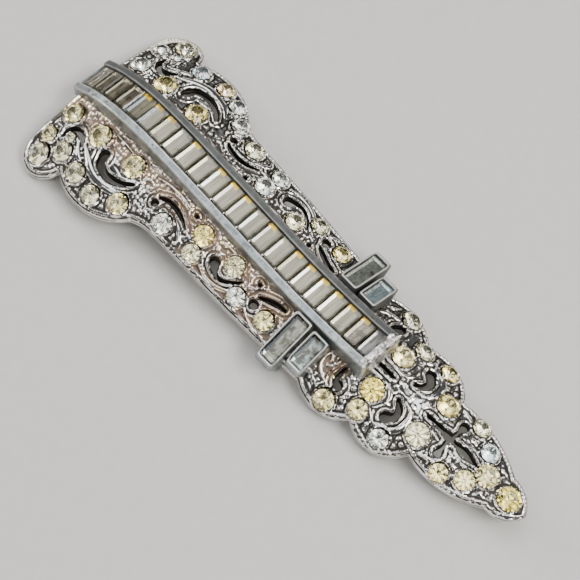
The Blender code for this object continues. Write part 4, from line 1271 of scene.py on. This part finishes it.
def brilliant(radius):
    """Points and faces of a round cut stone: rings of 8, 8 and 16 points at the table, crown and girdle, and
    of 16 and 8 down the pavilion to a point. Crown faces come first, then the pavilion's."""
    height, depth = CROWN_SHARE * radius, PAVILION_SHARE * radius
    middle_radius = (TABLE_SHARE + MIDDLE_SHARE * (1 - TABLE_SHARE)) * radius
    wide = 2 * FACETS
    rings = [
        ring_points(FACETS, TABLE_SHARE * radius, height),
        ring_points(FACETS, middle_radius, MIDDLE_LEVEL * height, 0.5),
        ring_points(wide, radius, 0.0),
        ring_points(wide, radius, -GIRDLE_HEIGHT),
        ring_points(FACETS, KEEL_SHARE * radius, -GIRDLE_HEIGHT - KEEL_LEVEL * depth, 0.5),
        np.array([[0.0, 0.0, -GIRDLE_HEIGHT - depth]]),
    ]
    table, middle, girdle, lower, keel, culet = np.cumsum([0] + [len(ring) for ring in rings[:-1]])
    k = np.arange(FACETS)
    before, after = (k - 1) % FACETS, (k + 1) % FACETS
    g = 2 * k
    crown = [
        (table + k)[None],
        np.stack([table + k, middle + k, table + after], 1),
        np.stack([table + k, middle + before, girdle + g, middle + k], 1),
        np.stack([middle + k, girdle + g, girdle + g + 1], 1),
        np.stack([middle + k, girdle + g + 1, girdle + (g + 2) % wide], 1),
    ]
    j = np.arange(wide)
    beside = (j + 1) % wide
    pavilion = [
        np.stack([girdle + j, lower + j, lower + beside, girdle + beside], 1),
        np.stack([lower + g, keel + k, lower + g + 1], 1),
        np.stack([lower + g + 1, keel + k, lower + (g + 2) % wide], 1),
        np.stack([lower + g, keel + before, np.full(FACETS, culet), keel + k], 1),
    ]
    return np.concatenate(rings), crown, pavilion


def round_stone(name, x, y, radius, tint, node):
    """A brilliant seated on the casting's face and turned to its slope.

    Its turn about its own axis is fixed noise of its place in tenths of a millimetre."""
    points, crown, pavilion = brilliant(radius)
    turn = 2 * np.pi * scatter(round(x / MM * 10), round(y / MM * 10), TURN_SALT)
    c, s = math.cos(turn), math.sin(turn)
    normal = face_normal(x, y)
    side = np.cross([0.0, 1.0, 0.0], normal)
    side /= np.linalg.norm(side)
    axes = np.stack([side, np.cross(normal, side), normal])
    points = points @ np.array(((c, s, 0), (-s, c, 0), (0, 0, 1))) + (0, 0, GIRDLE_LEVEL)
    piece = mesh_object(name, points @ axes + (x, y, face_z(x, y)), crown + pavilion, smooth_angle=0)
    index = np.repeat((0, 1), (sum(map(len, crown)), sum(map(len, pavilion))))
    finish_piece(piece, [once(cut_glass), foil(tint, STONE_FOIL_ROUGHNESS)], node, index)


# Baguettes


def bar_sheet(length, width, end, edge, level, fall):
    """A grid of 4 by 5 points whose inner points stand off the level by the fall."""
    a, b = length / 2, width / 2
    x, y = np.meshgrid((-a, end - a, a - end, a), (-b, edge - b, 0, b - edge, b), indexing="ij")
    inner = (np.abs(x) < a) & (np.abs(y) < b)
    return surface_points(x, y, level + fall * inner)


def set_bar(name, length, width, axes, centre, looks, node):
    """A step-cut bar: a bevelled sheet of glass over a foiled one with sloping edges, and a wall between.

    The foil's upper slope takes a painted highlight and half of its right end a painted yellow reflection."""
    top = bar_sheet(length, width, BEVEL, BEVEL, -BEVEL, BEVEL)
    under = bar_sheet(length, width, FOIL_END, FOIL_EDGE * width, -FOIL_LEVEL * BAGUETTE_HEIGHT, -FOIL_FALL)
    sheet, border = grid_faces(*SHEET), grid_border(*SHEET)
    after = np.roll(border, -1)
    wall = np.stack([border + len(top), after + len(top), after, border], 1)
    points = np.vstack([top, under]) @ axes + centre
    piece = mesh_object(name, points, [sheet[:, ::-1], sheet + len(top), wall], smooth_angle=0)
    cells = np.full((SHEET[0] - 1, SHEET[1] - 1), BODY_FOIL)
    # Painted highlight on the upper strip, painted yellow reflection on the upper half of the right end
    cells[:-1, -1] = STRIP_FOIL
    cells[-1, 2:] = END_FOIL
    index = np.concatenate([np.full(len(sheet), GLASS), cells.ravel(), np.full(len(wall), BODY_FOIL)])
    tint, stain, strip, end = looks
    foils = [bar_foil(tint, stain), foil(strip, STRIP_ROUGHNESS), foil(end, END_ROUGHNESS)]
    finish_piece(piece, [once(cut_glass), *foils], node, index)


def channel_bars():
    """The row of baguettes, each turned to the channel's slope where it sits and a little off it."""
    line = channel_line()
    pitch = (walked(line)[-1] - 2 * END_WALL) / (BAGUETTES - 1 + SHORT_BAGUETTE)
    start = END_WALL
    for number in range(1, BAGUETTES + 1):
        room = pitch * (SHORT_BAGUETTE if number == 1 else 1.0)
        centre, ahead = along_line(line, np.array(start + room / 2))
        up = np.array((-ahead[1], ahead[0]))
        lean, roll = (most * (scatter(number, column, BAR_SALT) - 0.5)
                      for most, column in (BAR_LEAN, BAR_ROLL))
        axes = np.array(((1, *(roll * up)), (0, *(ahead + lean * up)), (0, *up)))
        label = "%02d" % number
        looks = BAR_LOOKS.get(number, BROWN_FOILS if number > BROWN_FROM else BAR_FOILS)
        set_bar("bar_" + label, BAGUETTE_LENGTH, room - CLEARANCE, axes, (0, *centre), looks,
                "baguette_" + label)
        start += room


def tray_axes(across, along, side):
    """A tray's axes, outward along the slope, along the clip and out of it, and the centre of its stone."""
    x, y = side * across * HALF_WIDTH, along * HALF_LENGTH
    c, s = math.cos(side * TRAY_TILT), math.sin(side * TRAY_TILT)
    return np.array(((c, 0, -s), (0, 1, 0), (s, 0, c))), np.array((x, y, face_z(x, y) + TRAY_HEIGHT))


def side_bars():
    """The baguettes in the trays on both sides."""
    for name, length, width, across, along in TRAYS:
        for side, label in SIDES.items():
            key = name + "_" + label
            axes, centre = tray_axes(across, along, side)
            set_bar("side_bar_" + key, length, width, axes, centre, SIDE_LOOKS[key], "side_baguette_" + key)


# The channel and the trays


def channel_profile():
    """Half of the channel's section from the middle of its floor outward: across, and height over the tables.

    The top slopes outward a little between round corners. The last row stands for the foot of the wall."""
    inner = BAGUETTE_LENGTH / 2 + CLEARANCE
    outer = inner + RAIL_THICKNESS
    corner, small_corner = RAIL_CORNER, 0.5 * RAIL_CORNER
    turn = np.linspace(0, np.pi / 2, CORNER_POINTS)
    c, s = 1 - np.cos(turn), 1 - np.sin(turn)
    floor = -BAGUETTE_HEIGHT - CLEARANCE
    inside = np.stack([inner + small_corner * c, RAIL_LIP - small_corner * s], 1)
    top_across = np.linspace(inner + small_corner, outer - corner, TOP_POINTS + 2)[1:-1]
    top = np.stack([top_across, np.full(TOP_POINTS, RAIL_LIP)], 1)
    outside = np.stack([outer - corner * s, RAIL_LIP - corner * c], 1)
    down = np.linspace(RAIL_LIP - corner - WALL_TOP_GAP, -RAIL_WALL, WALL_POINTS)
    wall = np.stack([np.full(WALL_POINTS, outer), down], 1)
    section = np.vstack([[(0, floor), (inner, floor)], inside, top, outside, wall])
    section[:, 1] -= RAIL_SLOPE * np.maximum(section[:, 0] - inner, 0) * (section[:, 1] > floor)
    return np.vstack([section, (outer, 0)])


def channel():
    """The rails and the floor between them: the section carried along the channel line.

    Each station turns the section to the line's slope; the outer walls end inside the casting. The surface
    is worked by soft noise, and the left rail is cracked across at CRACK_PLACE."""
    line = channel_line()
    total = walked(line)[-1]
    distance = np.linspace(0, total, int(total / STATION))
    centre, ahead = along_line(line, distance)
    half = channel_profile()
    section = np.vstack([half[::-1] * (-1, 1), half[1:]])
    shape = (len(distance), len(section))
    run = np.broadcast_to(distance[:, None], shape)
    across, lift = (np.broadcast_to(column, shape).copy() for column in section.T)
    (coarse, coarse_size), (fine, fine_size) = RAIL_WORK
    worked = coarse * (drift(run + across, across, coarse_size, RAIL_SALTS[0]) - 0.5)
    worked += fine * (drift(run, across, fine_size, RAIL_SALTS[1]) - 0.5)
    crack = hump(run - CRACK_SLANT * (across + CRACK_EDGES[0]), CRACK_PLACE, CRACK_HALF_WIDTH)
    crack *= across < -CRACK_EDGES[1]
    on_rail = lift > -BAGUETTE_HEIGHT
    lift += on_rail * (worked - CRACK_DEPTH * crack)
    across += on_rail * np.sign(across) * worked * (lift < 0)
    y = centre[:, :1] - ahead[:, 1:] * lift
    z = centre[:, 1:] + ahead[:, :1] * lift
    feet = [0, -1]
    y[:, feet] = centre[:, :1]
    z[:, feet] = np.minimum(face_z(0.0, y[:, feet]) - FOOT_SINK, z[:, feet] - RAIL_WALL)
    ridge = np.zeros(len(half))
    ridge[INNER_CORNER] = INNER_LIP
    ridge[OUTER_CORNER] = OUTER_LIP
    lip = np.concatenate([ridge[::-1], ridge[1:]]) * (0.5 + drift(run, across, LIP_SIZE, LIP_SALT))
    # Painted shade: the right rail's bright lips are dimmed
    lip *= np.where(across > 0, RIGHT_LIP, 1.0)
    piece = mesh_object("channel", surface_points(across, y, z), tube_faces(*shape), {"lip": lip.ravel()})
    finish_plate(piece, worn_rail)


def channel_ends():
    """The cast wall at the channel's lower end and the thin one at its upper end."""
    line = channel_line()
    width = 2 * (BAGUETTE_LENGTH / 2 + CLEARANCE + RAIL_THICKNESS)
    y, z = line[0]
    height = z - face_z(0.0, y) + FOOT_DEPTH
    place = (0.0, y + FOOT_SHIFT, z + RAIL_LIP + FOOT_LIFT - height / 2)
    foot = rounded_block("channel_foot", (width - FOOT_NARROWING, FOOT_LENGTH, height), place, np.eye(3),
                         FOOT_ROUGHNESS)
    finish_plate(foot, cast_bright)
    centre, ahead = along_line(line, np.array(walked(line)[-1] - HEAD_BACK))
    axes = np.array(((1, 0, 0), (0, *ahead), (0, -ahead[1], ahead[0])))
    head = rounded_block("channel_head", (width - HEAD_NARROWING, HEAD_LENGTH, HEAD_HEIGHT),
                         (0.0, *centre) - axes[2] * HEAD_DROP, axes)
    finish_plate(head, worn_rail)


def tray(name, length, width, across, along, side):
    """A tray's wall: a section with a round top carried round a rectangle with soft corners, thicker and
    lower at the outer end, and a floor under the stone."""
    key = name + "_" + SIDES[side]
    axes, centre = tray_axes(across, along, side)
    c, s = round_square(TRAY_STEPS, TRAY_POWER)
    end = rise(c * side, *TRAY_END)
    turn = np.linspace(0, np.pi, TRAY_TOP_POINTS)
    share = np.concatenate([[0.0, 0.0], 0.5 - 0.5 * np.cos(turn), [1.0, 1.0, 1.0]])[:, None]
    round_top = RAIL_LIP - TRAY_TOP_START + TRAY_TOP_HEIGHT * np.sin(turn)
    level = np.concatenate([[-TRAY_DEPTH, TRAY_INNER_LEVEL], round_top, [*TRAY_OUTER_LEVELS, -TRAY_DEPTH]])
    level = level[:, None]
    end_wall = TRAY_RIM * (TRAY_END_WALL[0] + TRAY_END_WALL[1] * end)
    x = c * (length / 2 + TRAY_GAP + share * end_wall)
    y = s * (width / 2 + TRAY_GAP + share * (TRAY_RIM * TRAY_SIDE_WALL))
    z = level - TRAY_FALL * (end * rise(share, *TRAY_FALL_SHARE)) * (level > TRAY_FALL_FROM)
    points = surface_points(x, y, z)
    faces = grid_faces(len(level), TRAY_STEPS, wrap_rows=True, wrap_columns=True)
    lip = rise(level, RAIL_LIP - TRAY_LIP_HEIGHT, RAIL_LIP) * (1 - rise(share, *TRAY_LIP_SHARE) * end)
    wall = mesh_object("tray_" + key, points @ axes + centre, [faces[:, ::-1]],
                       {"lip": TRAY_LIP * lip.ravel()})
    finish_plate(wall, worn_rail)
    floor = rounded_block("tray_floor_" + key, (length + TRAY_RIM, width + TRAY_RIM, TRAY_FLOOR),
                          centre - axes[2] * (BAGUETTE_HEIGHT + CLEARANCE + TRAY_FLOOR_DROP), axes,
                          power=TRAY_FLOOR_POWER, steps=TRAY_FLOOR_STEPS)
    finish_plate(floor, worn_rail)


# The clip on the back


def clip_tongue():
    """The tongue: a soft-cornered section, bowed on top, whose half width narrows to a round tip."""
    low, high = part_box("back_clip")
    rows, columns = TONGUE_STEPS
    t = np.linspace(0, 1, rows)[:, None]
    width = high.x * (1 - TONGUE_TAPER + TONGUE_TAPER * rise(t, 0.0, TONGUE_TAPER_END))
    width = width * np.sqrt(1 - (1 - rise(t, *TONGUE_TIP)) ** 2 * TONGUE_TIP_SHARE)
    width *= 1 - TONGUE_HEEL_SHARE * rise(t, *TONGUE_HEEL)
    c, s = round_square(columns, TONGUE_POWER)
    z = CLIP_THICKNESS / 2 * (1 + s) * (1 - TONGUE_EDGE_SHARE * rise(np.abs(c), *TONGUE_EDGE))
    z += TONGUE_BOW * CLIP_THICKNESS * np.cos(np.pi * c / 2) * (s > 0)
    points = surface_points(width * c, low.y + t * (high.y - low.y), z)
    tongue = mesh_object("clip_tongue", points, [group[:, ::-1] for group in tube_faces(rows, columns)])
    finish_piece(tongue, [once(clip_steel)], "back_clip")


def clip_foot():
    """The block between the tongue and the casting."""
    _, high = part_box("back_clip")
    height = high.z - 0.5 * CLIP_THICKNESS
    centre = (0.0, high.y - CLIP_THICKNESS - CLIP_FOOT_LENGTH / 2, high.z - height / 2)
    foot = rounded_block("clip_foot", (CLIP_FOOT_WIDTH, CLIP_FOOT_LENGTH, height), centre, np.eye(3),
                         power=CLIP_FOOT_POWER)
    finish_piece(foot, [once(clip_steel)], "back_clip")


# Floor, light and camera


def lay_floor():
    """A wide square a little under the clip."""
    half = FLOOR_SIZE / 2
    corners = [(x, y, FLOOR_LEVEL) for x, y in ((-half, -half), (half, -half), (half, half), (-half, half))]
    sheet = mesh_object("floor", corners, [np.arange(4)[None]], smooth_angle=0)
    sheet.data.materials.append(once(floor_paper))


def studio():
    """A dim even room round the lights."""
    world = bpy.data.worlds.new("studio")
    world.use_nodes = True
    background = world.node_tree.nodes["Background"]
    background.inputs["Color"].default_value = ROOM_COLOUR
    background.inputs["Strength"].default_value = ROOM_STRENGTH
    bpy.context.scene.world = world


def soft_light(name, place, size, radiance, colour):
    """An area light aimed at the clip, of even radiance: its power is the radiance times pi and its area."""
    data = bpy.data.lights.new(name, "AREA")
    data.shape = "RECTANGLE"
    data.size, data.size_y = size
    data.energy = radiance * math.pi * size[0] * size[1]
    data.color = colour
    light = bpy.data.objects.new(name, data)
    bpy.context.scene.collection.objects.link(light)
    light.location = place
    light.rotation_mode = "QUATERNION"
    light.rotation_quaternion = (Vector(AIM) - light.location).to_track_quat("-Z", "Y")


def set_camera():
    """The camera at the photograph's angle: its axis from azimuth and elevation, then rolled about it."""
    look = bpy.context.scene.clip_stage
    a, e, r = look.azimuth, look.elevation, look.roll
    back = np.array((math.sin(a) * math.cos(e), -math.cos(a) * math.cos(e), math.sin(e)))
    right = np.array((math.cos(a), math.sin(a), 0.0))
    up = np.cross(back, right)
    across = math.cos(r) * right + math.sin(r) * up
    upward = -math.sin(r) * right + math.cos(r) * up
    place = look.distance * back - CAMERA_SHIFT[0] * across - CAMERA_SHIFT[1] * upward
    data = bpy.data.cameras.new("camera")
    data.lens = look.lens
    data.sensor_width = SENSOR_WIDTH
    data.clip_start = CLIP_START
    view = bpy.data.objects.new("camera", data)
    bpy.context.scene.collection.objects.link(view)
    pose = np.eye(4)
    pose[:3] = np.column_stack([across, upward, back, place + (0, -FIT_OFFSET, LEVEL)])
    view.matrix_world = Matrix(pose)
    bpy.context.scene.camera = view


# Operators and panel


class CLIP_OT_casting(bpy.types.Operator):
    """Build the pierced casting in three parts that meet under the trays and the channel."""
    bl_idname = "clip.casting"
    bl_label = "Casting"

    def execute(self, context):
        for name, x_range, y_range in CASTING_PARTS:
            finish_plate(casting_part(name, x_range, y_range), cast_silver)
        return {"FINISHED"}


class CLIP_OT_channel(bpy.types.Operator):
    """Build the channel with its ends and the stepped trays beside it."""
    bl_idname = "clip.channel"
    bl_label = "Channel and trays"

    def execute(self, context):
        channel()
        channel_ends()
        for row in TRAYS:
            for side in SIDES:
                tray(*row, side)
        return {"FINISHED"}


class CLIP_OT_baguettes(bpy.types.Operator):
    """Set the baguettes in the channel and in the trays."""
    bl_idname = "clip.baguettes"
    bl_label = "Baguettes"

    def execute(self, context):
        channel_bars()
        side_bars()
        return {"FINISHED"}


class CLIP_OT_stones(bpy.types.Operator):
    """Set the round stones on the casting."""
    bl_idname = "clip.stones"
    bl_label = "Round stones"

    def execute(self, context):
        for name, x, y, radius, tint in stone_places():
            own = "stone_" + name
            round_stone("cut_" + name, x, y, radius, tint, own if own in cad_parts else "plate")
        return {"FINISHED"}


class CLIP_OT_back(bpy.types.Operator):
    """Build the plain clip on the back."""
    bl_idname = "clip.back"
    bl_label = "Back clip"

    def execute(self, context):
        clip_tongue()
        clip_foot()
        return {"FINISHED"}


class CLIP_OT_stage(bpy.types.Operator):
    """Lay the floor and set the lights and the camera."""
    bl_idname = "clip.stage"
    bl_label = "Stage"

    def execute(self, context):
        lay_floor()
        studio()
        for row in LIGHTS:
            soft_light(*row)
        set_camera()
        return {"FINISHED"}


OPERATORS = (CLIP_OT_casting, CLIP_OT_channel, CLIP_OT_baguettes, CLIP_OT_stones, CLIP_OT_back, CLIP_OT_stage)
GROUPS = {"clip_metal": ClipMetal, "clip_stones": ClipStones, "clip_stage": ClipStage}


class CLIP_PT_panel(bpy.types.Panel):
    """The clip's pieces and the values that they are built from."""
    bl_idname = "CLIP_PT_panel"
    bl_label = "Dress clip"
    bl_space_type = "VIEW_3D"
    bl_region_type = "UI"
    bl_category = "Dress clip"

    def draw(self, context):
        for operator in OPERATORS:
            self.layout.operator(operator.bl_idname)
        for name, group in GROUPS.items():
            box = self.layout.box()
            box.label(text=group.__doc__)
            for key in group.__annotations__:
                box.prop(getattr(context.scene, name), key)


def register():
    for item in (*GROUPS.values(), *OPERATORS, CLIP_PT_panel):
        bpy.utils.register_class(item)
    for name, group in GROUPS.items():
        setattr(bpy.types.Scene, name, bpy.props.PointerProperty(type=group))


def unregister():
    for name in GROUPS:
        delattr(bpy.types.Scene, name)
    for item in reversed((*GROUPS.values(), *OPERATORS, CLIP_PT_panel)):
        bpy.utils.unregister_class(item)


def main():
    register()
    bpy.ops.clip.casting()
    bpy.ops.clip.channel()
    bpy.ops.clip.baguettes()
    bpy.ops.clip.stones()
    bpy.ops.clip.back()
    bpy.ops.clip.stage()


if __name__ == "__main__":
    main()
